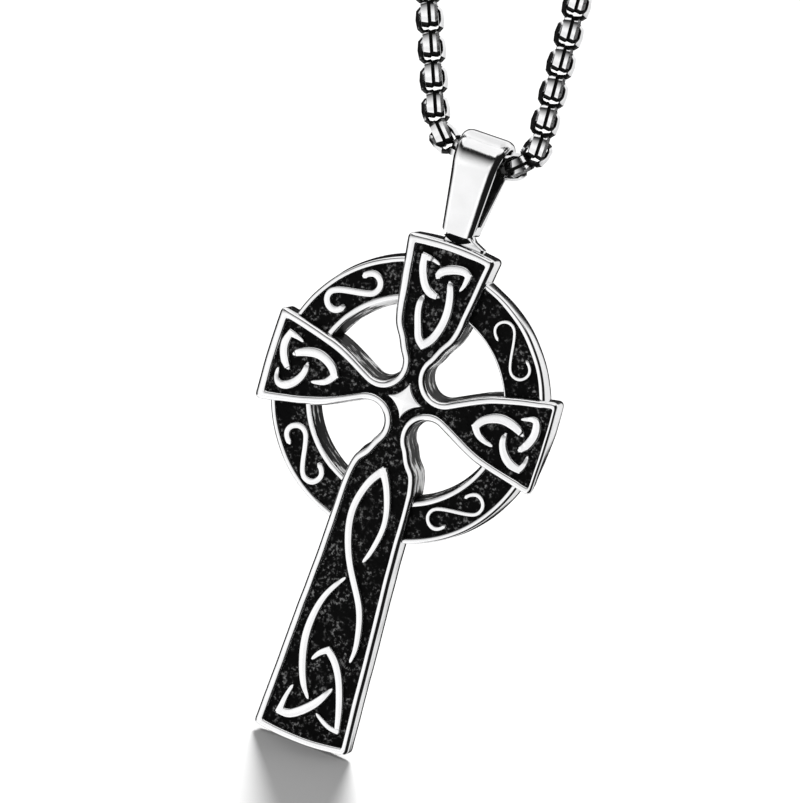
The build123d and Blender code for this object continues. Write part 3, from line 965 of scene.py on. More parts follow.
@dataclass
class RingBlank:
    """The ring between the arms, with a rim at each edge and a stippled floor between."""

    radius: float = 14.45
    opening: float = 10.15
    draft: float = 0.5
    height: float = 2.3
    recess: float = 0.3
    outer_rim: float = 0.6
    inner_rim: float = 0.6
    thin_share: float = 0.68
    thin_middle: float = 45.0
    thin_reach: Ramp = Ramp(40.0, -8.0)
    lean_in: float = 0.12
    lean_rim: Ramp = Ramp(-1.2, 0.6)
    lean_reach: Ramp = Ramp(50.0, -30.0)
    back_growth: float = 0.25
    back_middle: float = 112.0
    back_reach: Ramp = Ramp(45.0, -20.0)
    back_depth: float = 0.16
    low_half: float = 1.0
    segments: int = 440
    floor_step: float = 0.2
    floor_slip: float = 0.05
    stipple: float = 0.045
    edge_radius: float = 0.26
    edge_drop: float = 0.32
    wobble: Wobble = Wobble(0.03, 0.4, (9.0, 4.0, 1.0), 0.5)
    seed: int = 7

    def section(self) -> list[tuple[float, float, Zone]]:
        """Radius, height and finish of each line round, from the back's outer edge over the top and in."""
        top, floor = self.height, self.height - self.recess
        outer, inner = self.radius - self.outer_rim, self.opening + self.inner_rim
        lines = [(self.radius - 0.15, 0.0, Zone.BRIGHT), (self.radius - 0.04, 0.04, Zone.BRIGHT),
                 (self.radius, 0.15, Zone.BRIGHT), (self.radius, 1.0, Zone.BRIGHT),
                 (self.radius, top - self.edge_drop, Zone.BRIGHT)]
        for degrees in (18, 36, 54, 72):
            angle = math.radians(degrees)
            lines.append((self.radius - self.edge_radius * (1 - math.cos(angle)),
                          top - self.edge_drop * (1 - math.sin(angle)), Zone.BRIGHT))
        lines += [(self.radius - self.edge_radius, top, Zone.BRIGHT), (outer + 0.14, top - 0.01, Zone.BRIGHT),
                  (outer + 0.07, top - 0.06, Zone.RING_RELIEF), (outer, floor, Zone.RING_FLOOR)]
        count = int(round((outer - inner) / self.floor_step))
        lines += [(outer + (inner - outer) * i / count, floor, Zone.RING_FLOOR) for i in range(1, count)]
        lines += [(inner, floor, Zone.RING_RELIEF), (inner - 0.07, top - 0.06, Zone.BRIGHT),
                  (inner - 0.14, top - 0.01, Zone.BRIGHT), (self.opening + 0.2, top, Zone.BRIGHT),
                  (self.opening + 0.06, top - 0.05, Zone.BRIGHT), (self.opening, top - 0.16, Zone.OPENING),
                  (self.opening - 0.3 * self.draft, top - 0.6, Zone.OPENING),
                  (self.opening - self.draft, 0.15, Zone.OPENING),
                  (self.opening - self.draft + 0.1, 0.0, Zone.BACK)]
        return lines

    def build(self) -> bpy.types.Object:
        """Draws the ring as one closed mesh."""
        solid = Solid()
        random = np.random.default_rng(self.seed)
        angles = np.linspace(0, 2 * math.pi, self.segments, endpoint=False)
        from_upper_left = np.abs(np.degrees(angles) - self.back_middle)
        from_right = np.abs(np.degrees((angles + math.pi) % (2 * math.pi) - math.pi))
        inner, outer = self.opening + self.inner_rim, self.radius - self.outer_rim
        lines = self.section()
        rows = []
        for radius, height, zone in lines:
            on_floor = zone is Zone.RING_FLOOR and inner < radius < outer
            lift = stippled(random, self.segments, self.stipple) if on_floor else 0.0
            slip = random.uniform(-self.floor_slip, self.floor_slip, self.segments) if on_floor else 0.0
            out = self.narrowed(radius, angles) + slip
            if radius >= self.radius - self.back_depth and height < self.low_half:
                out = out + self.back_growth * self.back_reach.at(from_upper_left)
            if height > self.low_half:
                lean = self.lean_in * self.lean_rim.at(radius - self.radius)
                out = out - lean * self.lean_reach.at(from_right)
            heights = np.full(self.segments, height) + lift
            rows.append(solid.row(np.column_stack([out * np.cos(angles), out * np.sin(angles), heights])))
        for i, (_, _, zone) in enumerate(lines):
            solid.skin(rows[i], rows[(i + 1) % len(rows)], zone)
        return solid.to_object("ring", self.wobble.move)

    def narrowed(self, radius: float, angles: np.ndarray) -> np.ndarray:
        """Where a line of the section lies round: the inner rim is thin in the upper right quarter."""
        inner, outer = self.opening + self.inner_rim, self.radius - self.outer_rim
        if radius <= self.opening or radius >= outer:
            return np.full(len(angles), radius)
        thin = self.thin_reach.at(np.abs(np.degrees(angles) - self.thin_middle)) * self.thin_share
        if radius <= inner:
            return self.opening + (radius - self.opening) * (1 - thin)
        return radius - self.inner_rim * thin * (outer - radius) / (outer - inner)


@dataclass(frozen=True)
class Bead:
    """A point of a strand: along the arm and across it, as shares, and the strand's width there."""

    along: float
    across: float
    width: float


def beads(*rows: tuple[float, float, float]) -> tuple[Bead, ...]:
    """The beads of one strand, from rows of along, across and width."""
    return tuple(Bead(*row) for row in rows)


SIDE_KNOT: dict[str, tuple[Bead, ...]] = {
    "loop": beads(
        (0.515, -0.01, 0.95), (0.545, 0.13, 1.0), (0.60, 0.25, 1.05), (0.67, 0.31, 1.1),
        (0.74, 0.28, 1.05), (0.80, 0.205, 0.9), (0.84, 0.12, 0.5)),
    "loop_tail": beads(
        (0.515, -0.01, 0.95), (0.55, -0.15, 0.8), (0.60, -0.235, 0.6), (0.66, -0.285, 0.35)),
    "outer": beads(
        (0.895, 0.525, 0.8), (0.912, 0.34, 1.0), (0.906, 0.13, 1.0), (0.876, -0.06, 1.0),
        (0.835, -0.20, 0.55)),
    "outer_tail": beads(
        (0.895, 0.525, 0.8), (0.84, 0.49, 0.5), (0.795, 0.44, 0.3)),
    "hook": beads(
        (0.88, -0.555, 0.8), (0.822, -0.515, 1.0), (0.772, -0.41, 1.0), (0.735, -0.25, 0.9),
        (0.72, -0.085, 0.8), (0.722, 0.055, 0.5)),
    "hook_tail": beads(
        (0.88, -0.555, 0.8), (0.902, -0.44, 0.6), (0.909, -0.24, 0.35)),
}
TOP_KNOT: dict[str, tuple[Bead, ...]] = {
    "loop": beads(
        (0.367, 0.01, 1.0), (0.401, 0.128, 1.0), (0.469, 0.245, 1.0), (0.549, 0.309, 1.0),
        (0.617, 0.319, 1.0), (0.704, 0.277, 0.95), (0.765, 0.213, 0.8), (0.796, 0.16, 0.45)),
    "loop_tail": beads(
        (0.367, 0.01, 1.0), (0.395, -0.106, 0.95), (0.451, -0.191, 0.9), (0.537, -0.287, 0.85),
        (0.605, -0.319, 0.8), (0.66, -0.298, 0.5)),
    "outer": beads(
        (0.864, 0.532, 0.8), (0.88, 0.42, 0.95), (0.88, 0.298, 1.0), (0.861, 0.085, 1.05),
        (0.827, -0.074, 1.0), (0.784, -0.138, 0.7)),
    "outer_tail": beads(
        (0.864, 0.532, 0.8), (0.815, 0.511, 0.6), (0.759, 0.436, 0.3)),
    "hook": beads(
        (0.892, -0.521, 0.85), (0.833, -0.489, 1.0), (0.765, -0.404, 1.0), (0.71, -0.277, 1.0),
        (0.685, -0.128, 0.95), (0.679, 0.043, 0.55)),
    "hook_tail": beads(
        (0.892, -0.521, 0.85), (0.889, -0.319, 0.45), (0.873, -0.16, 0.3)),
}
FOOT_KNOT: dict[str, tuple[Bead, ...]] = {
    "long_strand": beads(
        (0.206, 0.0, 1.0), (0.231, 0.137, 0.95), (0.269, 0.265, 0.9), (0.339, 0.363, 0.9),
        (0.408, 0.294, 0.9), (0.45, 0.196, 0.85), (0.489, 0.069, 0.8), (0.556, -0.216, 0.8),
        (0.592, -0.353, 0.8), (0.633, -0.451, 0.75), (0.675, -0.51, 0.7), (0.708, -0.529, 0.6),
        (0.747, -0.5, 0.35)),
    "leaf": beads(
        (0.206, 0.0, 1.0), (0.233, -0.118, 0.85), (0.272, -0.235, 0.8), (0.342, -0.343, 0.7),
        (0.411, -0.284, 0.65), (0.444, -0.216, 0.55), (0.467, -0.147, 0.35)),
    "side_strand": beads(
        (0.525, 0.098, 0.35), (0.553, 0.235, 0.6), (0.589, 0.373, 0.7), (0.628, 0.461, 0.8),
        (0.672, 0.51, 0.9), (0.711, 0.52, 0.95), (0.758, 0.48, 0.95), (0.806, 0.392, 0.9),
        (0.847, 0.275, 0.8), (0.885, 0.10, 0.35)),
    "lower_loop": beads(
        (0.735, 0.0, 0.8), (0.75, -0.137, 0.9), (0.778, -0.294, 0.9), (0.811, -0.412, 0.85),
        (0.85, -0.51, 0.85), (0.889, -0.588, 0.8), (0.944, -0.667, 0.6)),
    "lower_loop_tail": beads(
        (0.735, 0.0, 0.8), (0.75, 0.137, 0.65), (0.775, 0.265, 0.35)),
    "lower_loop_foot": beads(
        (0.944, -0.667, 0.6), (0.943, -0.53, 0.5), (0.933, -0.353, 0.5), (0.917, -0.157, 0.3)),
    "sweep": beads(
        (0.944, 0.588, 0.85), (0.944, 0.431, 0.95), (0.931, 0.235, 1.05), (0.908, 0.039, 1.05),
        (0.883, -0.118, 0.95), (0.856, -0.235, 0.7), (0.836, -0.314, 0.4)),
    "sweep_tail": beads(
        (0.944, 0.588, 0.85), (0.922, 0.569, 0.65), (0.894, 0.539, 0.5), (0.864, 0.48, 0.4)),
}


def rounded(table: dict[str, tuple[Bead, ...]], name: str, tail: str) -> dict[str, tuple[Bead, ...]]:
    """The same knot with a strand and its tail drawn as one, so that their corner is round."""
    corner = table[name][0]
    middle = Bead(corner.along * 0.99, corner.across * 0.97, corner.width)
    whole = table[tail][:0:-1] + (middle,) + table[name][1:]
    others = {key: row for key, row in table.items() if key not in (name, tail)}
    return {**others, name: whole}


@dataclass(frozen=True)
class Curl:
    """A point of half a scroll: out along the radius, round the ring, and its width, as shares."""

    out: float
    round: float
    width: float


SCROLL_HALF = (
    Curl(0.0, 0.0, 1.0), Curl(-0.25, 0.37, 1.0), Curl(-0.345, 0.65, 1.05), Curl(-0.25, 0.87, 1.1),
    Curl(-0.03, 0.96, 1.1), Curl(0.19, 0.885, 1.1), Curl(0.29, 0.66, 1.05), Curl(0.28, 0.48, 1.1))


class StrandTree:
    """Geometry nodes that sweep a flat-crowned strand along a guide, as wide as the guide's radius."""

    SIZES = {"Crown": 1.0, "Skirt": 1.7, "Squareness": 0.36}
    PROFILE_POINTS = 20

    def __init__(self, material: bpy.types.Material) -> None:
        """Builds the tree."""
        self.tree = bpy.data.node_groups.new("strand_sweep", "GeometryNodeTree")
        sizes = {name: "Float" for name in self.SIZES}
        open_tree(self.tree, {"Geometry": "Geometry", **sizes, "Metal": "Material"})
        self.material = material
        sheet = NodeSheet(self.tree)
        given = sheet.add("NodeGroupInput").outputs
        circle = sheet.out("GeometryNodeCurvePrimitiveCircle", {"Resolution": self.PROFILE_POINTS})
        position = sheet.out("GeometryNodeInputPosition")
        place = sheet.add("ShaderNodeSeparateXYZ", {0: position}).outputs
        squared = [self.square(sheet, place[axis], given["Squareness"]) for axis in (0, 1)]
        crown = sheet.sum("MULTIPLY", sheet.sum("MINIMUM", squared[1], 0.0), given["Crown"])
        skirt = sheet.sum("MULTIPLY", sheet.sum("MAXIMUM", squared[1], 0.0), given["Skirt"])
        height = sheet.sum("ADD", crown, skirt)
        shaped = sheet.out("ShaderNodeCombineXYZ", {0: squared[0], 1: height})
        profile = sheet.out("GeometryNodeSetPosition", {"Geometry": circle, "Position": shaped})
        upright = sheet.out("GeometryNodeSetCurveNormal", {"Curve": given["Geometry"]}, mode="Z_UP")
        radius = sheet.out("GeometryNodeInputRadius")
        swept = sheet.out("GeometryNodeCurveToMesh", {
            "Curve": upright, "Profile Curve": profile, "Scale": radius, "Fill Caps": True})
        sheet.coat(swept, given["Metal"])

    @staticmethod
    def square(sheet: NodeSheet, value: bpy.types.NodeSocket,
               power: bpy.types.NodeSocket) -> bpy.types.NodeSocket:
        """A coordinate of the round profile pushed out towards a square's."""
        size = sheet.sum("POWER", sheet.sum("ABSOLUTE", value), power)
        return sheet.sum("MULTIPLY", size, sheet.sum("SIGN", value))

    def sweep(self, name: str, points: np.ndarray, half_widths: np.ndarray,
              zone: Zone) -> bpy.types.Object:
        """Sweeps one strand.

        Args:
            name: Name of the strand.
            points: The guide, its height that of the crown's foot.
            half_widths: Half the strand's width at each point.
            zone: Which relief the strand belongs to.

        Returns:
            The strand as a plain mesh object.
        """
        guide = guide_curve(name, points)
        guide.data.splines[0].points.foreach_set("radius", half_widths)
        mesh = run_nodes(guide, self.tree, {**self.SIZES, "Metal": self.material})
        mesh.shade_smooth()
        attribute = mesh.attributes.new("zone", "INT", "FACE")
        attribute.data.foreach_set("value", [int(zone)] * len(mesh.polygons))
        return linked(name, mesh)


@dataclass
class Relief:
    """The knots on the arms and the scrolls on the ring."""

    arms_floor: float = 2.5
    arms_top: float = 2.95
    ring_floor: float = 2.0
    ring_top: float = 2.31
    strand_width: float = 0.98
    scroll_width: float = 0.62
    recess_inner: float = 10.75
    recess_outer: float = 13.9
    overlap: float = 0.55
    scroll_drop: float = 0.15
    scroll_shares: tuple[float, ...] = (1.12, 0.5, 0.62, 0.98)
    scroll_turns: tuple[float, ...] = (0.0, 2.0, 2.6, 0.0)
    step: float = 0.13
    met_room: float = 9.0
    tip_start: float = 0.1
    tip_share: float = 0.28
    tip_reach: float = 0.05
    full_share: float = 0.36
    least_rise: float = 0.7

    def strand(self, tree: StrandTree, name: str, knots: np.ndarray, widths: list[float], floor: float,
               top: float, zone: Zone, met: tuple[bool, ...] = (False, False)) -> bpy.types.Object:
        """One strand through knots, its ends rounded and lower where it is thin.

        Args:
            tree: Makes the strand's mesh.
            name: Name of the strand.
            knots: The points that it passes.
            widths: Its width at each knot.
            floor: Height of the floor that it stands on.
            top: Height of its crown where it is widest.
            zone: Which relief it belongs to.
            met: Whether another strand meets its first end and its last, which then stay full.

        Returns:
            The strand's object.
        """
        run = smooth_run(knots, self.step)
        marks = np.linspace(0, 1, len(widths))
        half = np.interp(run.shares, marks, np.array(widths) / 2)
        gone = lengths_along(run.points)
        extra = [self.met_room * end for end in met]
        room = np.minimum(gone + extra[0], gone[-1] - gone + extra[1]) / half
        half = half * np.sqrt(1 - (1 - np.clip(room + self.tip_start, 0, 1)) ** 2).clip(self.tip_share)
        first = run.points[0] - run.ways[0] * (self.overlap * half[0] if met[0] else self.tip_reach)
        last = run.points[-1] + run.ways[-1] * (self.overlap * half[-1] if met[1] else self.tip_reach)
        flat = np.concatenate([[first], run.points[1:-1], [last]])
        rise = (top - floor) * np.clip(half / (self.full_share * max(widths)), self.least_rise, 1.0)
        return tree.sweep(name, np.column_stack([flat, floor + rise - half]), half, zone)

    def knot(self, tree: StrandTree, arm: Arm, table: dict[str, tuple[Bead, ...]], heading: float,
             hand: int = 1) -> list[bpy.types.Object]:
        """The strands of one arm; heading turns the arm from the top, clockwise."""
        spin = turn_matrix(-heading)
        strands = []
        tips = [(bead.along, bead.across) for row in table.values() for bead in (row[0], row[-1])]
        for name, row in table.items():
            knots = np.array([(hand * bead.across * arm.half, bead.along * arm.reach) for bead in row])
            widths = [bead.width * self.strand_width for bead in row]
            met = tuple(tips.count((bead.along, bead.across)) > 1 for bead in (row[0], row[-1]))
            strands.append(self.strand(tree, name, knots @ spin.T, widths, self.arms_floor, self.arms_top,
                                       Zone.ARMS_RELIEF, met))
        return strands

    def scroll(self, tree: StrandTree, heading: float, share: float) -> bpy.types.Object:
        """The double-ended scroll of one quarter of the ring, its width a share of the full one."""
        recess = self.recess_outer - self.recess_inner
        middle = (self.recess_outer + self.recess_inner) / 2 - self.scroll_drop
        curls = [(sign, curl) for sign, half in ((-1, SCROLL_HALF[:0:-1]), (1, SCROLL_HALF)) for curl in half]
        knots = np.array([(sign * curl.round * recess, middle + sign * curl.out * recess)
                          for sign, curl in curls]) @ turn_matrix(-heading).T
        widths = [curl.width * self.scroll_width * share for _, curl in curls]
        return self.strand(tree, "scroll", knots, widths, self.ring_floor, self.ring_top, Zone.RING_RELIEF)

    def build(self, tree: StrandTree) -> list[bpy.types.Object]:
        """All the strands and scrolls."""
        made = self.knot(tree, TOP_ARM, TOP_KNOT, 0)
        made += self.knot(tree, SIDE_ARM, rounded(SIDE_KNOT, "hook", "hook_tail"), -90)
        made += self.knot(tree, SIDE_ARM, rounded(SIDE_KNOT, "outer", "outer_tail"), 90, hand=-1)
        made += self.knot(tree, FOOT_ARM, FOOT_KNOT, 180)
        for quarter, (share, turn) in enumerate(zip(self.scroll_shares, self.scroll_turns)):
            made.append(self.scroll(tree, -45 + 90 * quarter + turn, share))
        return made


@dataclass
class StarBoss:
    """The small four-pointed star at the crossing."""

    tip: float = 2.0
    waist: float = 1.05
    floor: float = 2.5
    top: float = 2.95
    sink: float = 0.3
    bevel: tuple[tuple[float, float], ...] = (
        (1.0, 0.2), (0.97, 0.08), (0.92, 0.02), (0.85, 0.0), (0.4, -0.02))
    tip_gap: float = 0.04
    fan: int = 9

    def outline(self) -> np.ndarray:
        """The star's edge, its sides hollow."""
        edge = []
        for quarter in range(4):
            angle = math.radians(90 * quarter)
            start = np.array([math.cos(angle), math.sin(angle)]) * self.tip
            end = np.array([-start[1], start[0]])
            centre = (start + end) / np.linalg.norm(start + end)
            lean = self.tip * math.cos(math.pi / 4) - self.waist
            reach = (self.tip ** 2 - self.waist ** 2) / (2 * lean)
            hub = centre * reach
            radius = reach - self.waist
            first = math.atan2(*(start - hub)[::-1])
            last = math.atan2(*(end - hub)[::-1])
            sweep = (last - first + math.pi) % (2 * math.pi) - math.pi
            for share in np.linspace(self.tip_gap, 1 - self.tip_gap, self.fan):
                angle = first + sweep * share
                edge.append(hub + radius * np.array([math.cos(angle), math.sin(angle)]))
        return np.array(edge)

    def build(self) -> bpy.types.Object:
        """Draws the star as a closed mesh with a bevelled edge and a slightly domed face."""
        solid = Solid()
        edge = self.outline()
        rows = [solid.level(edge, self.floor - self.sink)]
        rows += [solid.level(edge * share, self.top - drop) for share, drop in self.bevel]
        solid.pile(rows, Zone.ARMS_RELIEF)
        return solid.to_object("star")


@dataclass(frozen=True)
class NeckRow:
    """One section of the bail's neck: its height, its reach to each side, its front and its back."""

    height: float
    left: float
    right: float
    front: float = 1.9
    back: float = 0.5


NECK = (NeckRow(16.1, 1.5, 3.0), NeckRow(16.75, 1.45, 2.9), NeckRow(17.0, 1.42, 2.35),
        NeckRow(17.25, 1.4, 1.8), NeckRow(17.6, 1.38, 1.45), NeckRow(18.0, 1.3, 1.3, back=0.6))


@dataclass
class StrapBail:
    """The strap bail: a teardrop loop in side view that widens to its top, on a flared neck."""

    thickness: float = 0.78
    foot_width: float = 3.2
    top_width: float = 5.35
    height: float = 10.9
    foot_depth: float = 3.0
    foot: float = 17.5
    mid_depth: float = 1.5
    bend_inner: float = 2.2
    bend_centre: float = 25.0
    seat_height: float = 25.5
    floor_rise: float = 1.3
    floor_gap: float = 1.1
    outer_rounding: float = 0.92
    outer_depth: float = 0.55
    inner_rounding: float = 0.12
    corner_steps: int = 8
    loop_counts: tuple[int, int, int] = (26, 44, 8)
    neck_corner: float = 0.35
    neck_steps: int = 5
    hollow_half: float = 1.42
    hollow_middle: float = 17.1
    hollow_rise: float = 0.48
    hollow_front: float = 2.2
    hollow_back: float = 1.2
    hollow_points: int = 19

    def side_line(self, radius: float, floor_half: float, floor_y: float) -> np.ndarray:
        """One surface of the teardrop in side view: from the foot's front up, over, down and back.

        Args:
            radius: Radius of the bend.
            floor_half: Half the depth of the floor.
            floor_y: Height of the floor.

        Returns:
            Points as depth and height, closed.
        """
        side_count, bend_count, floor_count = self.loop_counts
        rise = self.bend_centre - floor_y
        span = math.hypot(rise, floor_half)
        angle = math.acos(radius / span) - math.atan2(rise, floor_half)
        touch = np.array([radius * math.cos(angle), self.bend_centre + radius * math.sin(angle)])
        front = np.linspace([floor_half, floor_y], touch, side_count, endpoint=False)
        turns = np.linspace(angle, math.pi - angle, bend_count, endpoint=False)
        bend = np.stack([radius * np.cos(turns), self.bend_centre + radius * np.sin(turns)], axis=1)
        back = np.concatenate([[touch * [-1, 1]], (front * [-1, 1])[::-1]])
        corners = np.array([[-floor_half, floor_y], [floor_half, floor_y]])
        floor = np.linspace(corners[0], corners[1], floor_count, endpoint=False)[1:]
        line = np.concatenate([front, bend, back, floor])
        return line + [self.mid_depth, 0]

    def half_width(self, height: float) -> float:
        """Half the strap's width at a height."""
        share = (height - self.foot) / self.height
        return (self.foot_width + (self.top_width - self.foot_width) * share) / 2

    def section(self, outer: np.ndarray, inner: np.ndarray) -> list[tuple[float, float, float]]:
        """The strap's rounded section between a point of its outer surface and one of its inner."""
        thick = float(np.linalg.norm(outer - inner))
        way = (outer - inner) / thick
        half = self.half_width(float((outer + inner)[1] / 2))
        points = []
        for hand, first in ((1, 0), (-1, 90), (-1, 180), (1, 270)):
            on_outer = first < 180
            radius = self.outer_rounding if on_outer else self.inner_rounding
            deep = self.outer_depth if on_outer else self.inner_rounding
            centre_x = hand * (half - radius)
            centre_y = thick - deep if on_outer else deep
            for angle in np.radians(np.linspace(first, first + 90, self.corner_steps + 1)):
                depth, height = inner + way * (centre_y + deep * math.sin(angle))
                points.append((centre_x + radius * math.cos(angle), height, depth))
        return points

    def loop(self) -> bpy.types.Object:
        """Draws the strap as a closed band."""
        solid = Solid()
        outer = self.side_line(self.bend_inner + self.thickness, self.foot_depth / 2, self.foot)
        inner = self.side_line(self.bend_inner, self.floor_gap / 2, self.foot + self.floor_rise)
        rows = [solid.row(self.section(*pair)) for pair in zip(outer, inner)]
        for i, row in enumerate(rows):
            solid.skin(rows[(i + 1) % len(rows)], row)
        sides = len(rows[0])
        # The inner faces get the inside finish, which carries painted shade.
        inner_faces = range(2 * self.corner_steps + 1, 3 * self.corner_steps + 3)
        for i in range(len(solid.zones)):
            if i % sides in inner_faces:
                solid.zones[i] = int(Zone.INSIDE)
        return solid.to_object("bail")

    def neck(self) -> bpy.types.Object:
        """Draws the neck that flares from the bail's foot into the arm."""
        solid = Solid()
        rows = []
        corner = self.neck_corner
        for part in NECK:
            middle, deep = (part.front + part.back) / 2, (part.front - part.back) / 2
            ring = []
            for side_x, sign_z, first in ((part.right, 1, 0), (-part.left, 1, 90), (-part.left, -1, 180),
                                          (part.right, -1, 270)):
                for angle in np.radians(np.linspace(first, first + 90, self.neck_steps)):
                    ring.append((side_x - math.copysign(corner, side_x) + corner * math.cos(angle),
                                 part.height, middle + sign_z * (deep - corner) + corner * math.sin(angle)))
            rows.append(solid.row(ring))
        for below, above in zip(rows, rows[1:]):
            solid.skin(above, below)
        solid.face(rows[0])
        solid.face(rows[-1][::-1])
        return solid.to_object("neck")

    def hollow(self) -> bpy.types.Object:
        """Draws the lens-shaped hollow under the strap's foot, black with the stipple finish as painted
        shade.
        """
        solid = Solid()
        shares = np.linspace(-1, 1, self.hollow_points)
        bow = self.hollow_rise * (1 - shares ** 2)
        upper = np.column_stack([shares * self.hollow_half, self.hollow_middle + bow])
        lower = np.column_stack([shares * self.hollow_half, self.hollow_middle - bow])
        edge = np.concatenate([lower, upper[-2:0:-1]])
        rows = [solid.level(edge, depth) for depth in (self.hollow_back, self.hollow_front)]
        # Painted shade: the lens takes the black stipple finish to stand for the shadow under the strap's
        # foot.
        solid.pile(rows, Zone.ARMS_FLOOR)
        return solid.to_object("hollow")

    def build(self) -> list[bpy.types.Object]:
        """The strap, its neck and the hollow between them."""
        return [self.loop(), self.neck(), self.hollow()]


@dataclass(frozen=True)
class Band:
    """A stretch of height above a floor over which something fades."""

    low: float
    high: float

    def faded(self, height: np.ndarray, floor: float) -> np.ndarray:
        """From 1 below the band to 0 above it."""
        low, high = floor + self.low, floor + self.high
        return Ramp(high, low - high).at(height)


@dataclass(frozen=True)
class PaintedShadeRules:
    """Where painted shade blackens the casting: bands of height above a floor, and ways that openings' walls
    face.
    """

    arms: Band = Band(0.1, 0.28)
    ring: Band = Band(0.1, 0.24)
    ring_wall: Band = Band(0.5, 1.0)
    wall_inside: float = 0.3
    wall_outside: float = 0.1
    facing_up: Ramp = Ramp(-0.65, 0.35)
    facing_right: Ramp = Ramp(0.5, 0.3)
    hub_radius: float = 9.3
    lower: Ramp = Ramp(-6.9, 1.4)
    lower_least: float = 0.36

    def opening(self, place: np.ndarray, normal: np.ndarray) -> np.ndarray:
        """The painted shade on the walls of the four openings, by where they are and which way they face."""
        x, y = place[:, 0], place[:, 1]
        dark = self.facing_up.at(normal[:, 1])
        dark = np.where((x < 0) & (y > 0), np.maximum(dark, self.facing_right.at(normal[:, 0])), dark)
        lower_right = (x > 0) & (y < 0) & (np.hypot(x, y) < self.hub_radius)
        return np.where(lower_right, self.lower.at(y).clip(self.lower_least), dark)


@dataclass
class CastPendant:
    """Cross, ring, relief and bail as one casting."""

    placing: Placing
    arms: ArmsBlank = field(default_factory=ArmsBlank)
    ring: RingBlank = field(default_factory=RingBlank)
    relief: Relief = field(default_factory=Relief)
    star: StarBoss = field(default_factory=StarBoss)
    bail: StrapBail = field(default_factory=StrapBail)
    soot: PaintedShadeRules = PaintedShadeRules()
    steep: float = 0.35
    sharp_angle: float = 38.0
    flat_half: float = 4.0
    end_thinning: float = 0.1
    foot_start: float = 10.0
    foot_thinning: float = 0.25
    foot_shift: float = 0.22

    def build(self, finishes: dict[Zone, bpy.types.Material], tree: StrandTree) -> bpy.types.Object:
        """Draws, unites, finishes and places the casting."""
        base = self.arms.build()
        parts = [self.ring.build(), self.star.build()] + self.bail.build() + self.relief.build(tree)
        mesh = fused(base, parts)
        points = read_values(mesh.vertices, "co", 3)
        self.dress(mesh, points, finishes)
        reach = Ramp(self.flat_half, SIDE_ARM.reach - self.flat_half).at(np.abs(points[:, 0]))
        points[:, 2] *= 1 - self.end_thinning * reach ** 2
        down = Ramp(self.foot_start, FOOT_ARM.reach - self.foot_start).at(-points[:, 1])
        points[:, 2] *= 1 - self.foot_thinning * down
        points[:, 0] -= self.foot_shift * down
        mesh.vertices.foreach_set("co", self.placing.to_world(points).ravel())
        soften(mesh, self.sharp_angle)
        made = linked("cast_cross", mesh)
        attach(made, Body.PENDANT.value)
        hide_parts("cross_and_bail")
        return made

    def dress(self, mesh: bpy.types.Mesh, points: np.ndarray,
              finishes: dict[Zone, bpy.types.Material]) -> None:
        """Gives each zone its finish and blackens the flanks of the relief, the recess walls and the
        openings' walls with painted shade.
        """
        mesh.materials.clear()
        slots: dict[str, int] = {}
        for finish in finishes.values():
            if finish.name not in slots:
                slots[finish.name] = len(slots)
                mesh.materials.append(finish)
        zones = read_values(mesh.attributes["zone"].data, "value", kind=int)
        middles = read_values(mesh.polygons, "center", 3)
        normals = read_values(mesh.polygons, "normal", 3)
        upright = np.abs(normals[:, 2]) < self.steep
        within = np.hypot(middles[:, 0], middles[:, 1]) < self.ring.opening
        zones[(zones == Zone.BRIGHT) & upright & within] = Zone.OPENING
        lookup = np.array([slots[finishes[zone].name] for zone in Zone])
        mesh.polygons.foreach_set("material_index", lookup[zones])
        counts = read_values(mesh.polygons, "loop_total", kind=int)
        place = points[read_values(mesh.loops, "vertex_index", kind=int)]
        zone, normal, upright = (np.repeat(values, counts, axis=0) for values in (zones, normals, upright))
        # The painted shade goes on each face corner as an attribute.
        attribute = mesh.attributes.new("soot", "FLOAT", "CORNER")
        attribute.data.foreach_set("value", self.painted_shade_values(zone, place, normal, upright))

    def painted_shade_values(self, zone: np.ndarray, place: np.ndarray, normal: np.ndarray,
                  upright: np.ndarray) -> np.ndarray:
        """How much painted shade blackens each corner of a face.

        Args:
            zone: The zone of each corner's face.
            place: Where each corner is.
            normal: Which way its face looks.
            upright: Whether its face is steep.

        Returns:
            Values from 0 to 1.
        """
        height = place[:, 2]
        black = np.zeros(len(place))
        radius = np.hypot(place[:, 0], place[:, 1])
        arms, ring, opening = (zone == kind for kind in (Zone.ARMS_RELIEF, Zone.RING_RELIEF, Zone.OPENING))
        wall = (zone == Zone.BRIGHT) & upright
        wall &= radius > self.relief.recess_inner - self.soot.wall_inside
        wall &= radius < self.relief.recess_outer + self.soot.wall_outside
        # Painted shade: relief flanks and recess walls darken near the floor, and the openings' walls darken
        # by the way they face.
        black[arms] = self.soot.arms.faded(height[arms], self.relief.arms_floor)
        black[ring] = self.soot.ring.faded(height[ring], self.relief.ring_floor)
        black[wall] = self.soot.ring_wall.faded(height[wall], self.relief.ring_floor)
        black[opening] = self.soot.opening(place[opening], normal[opening])
        return black


# The chain


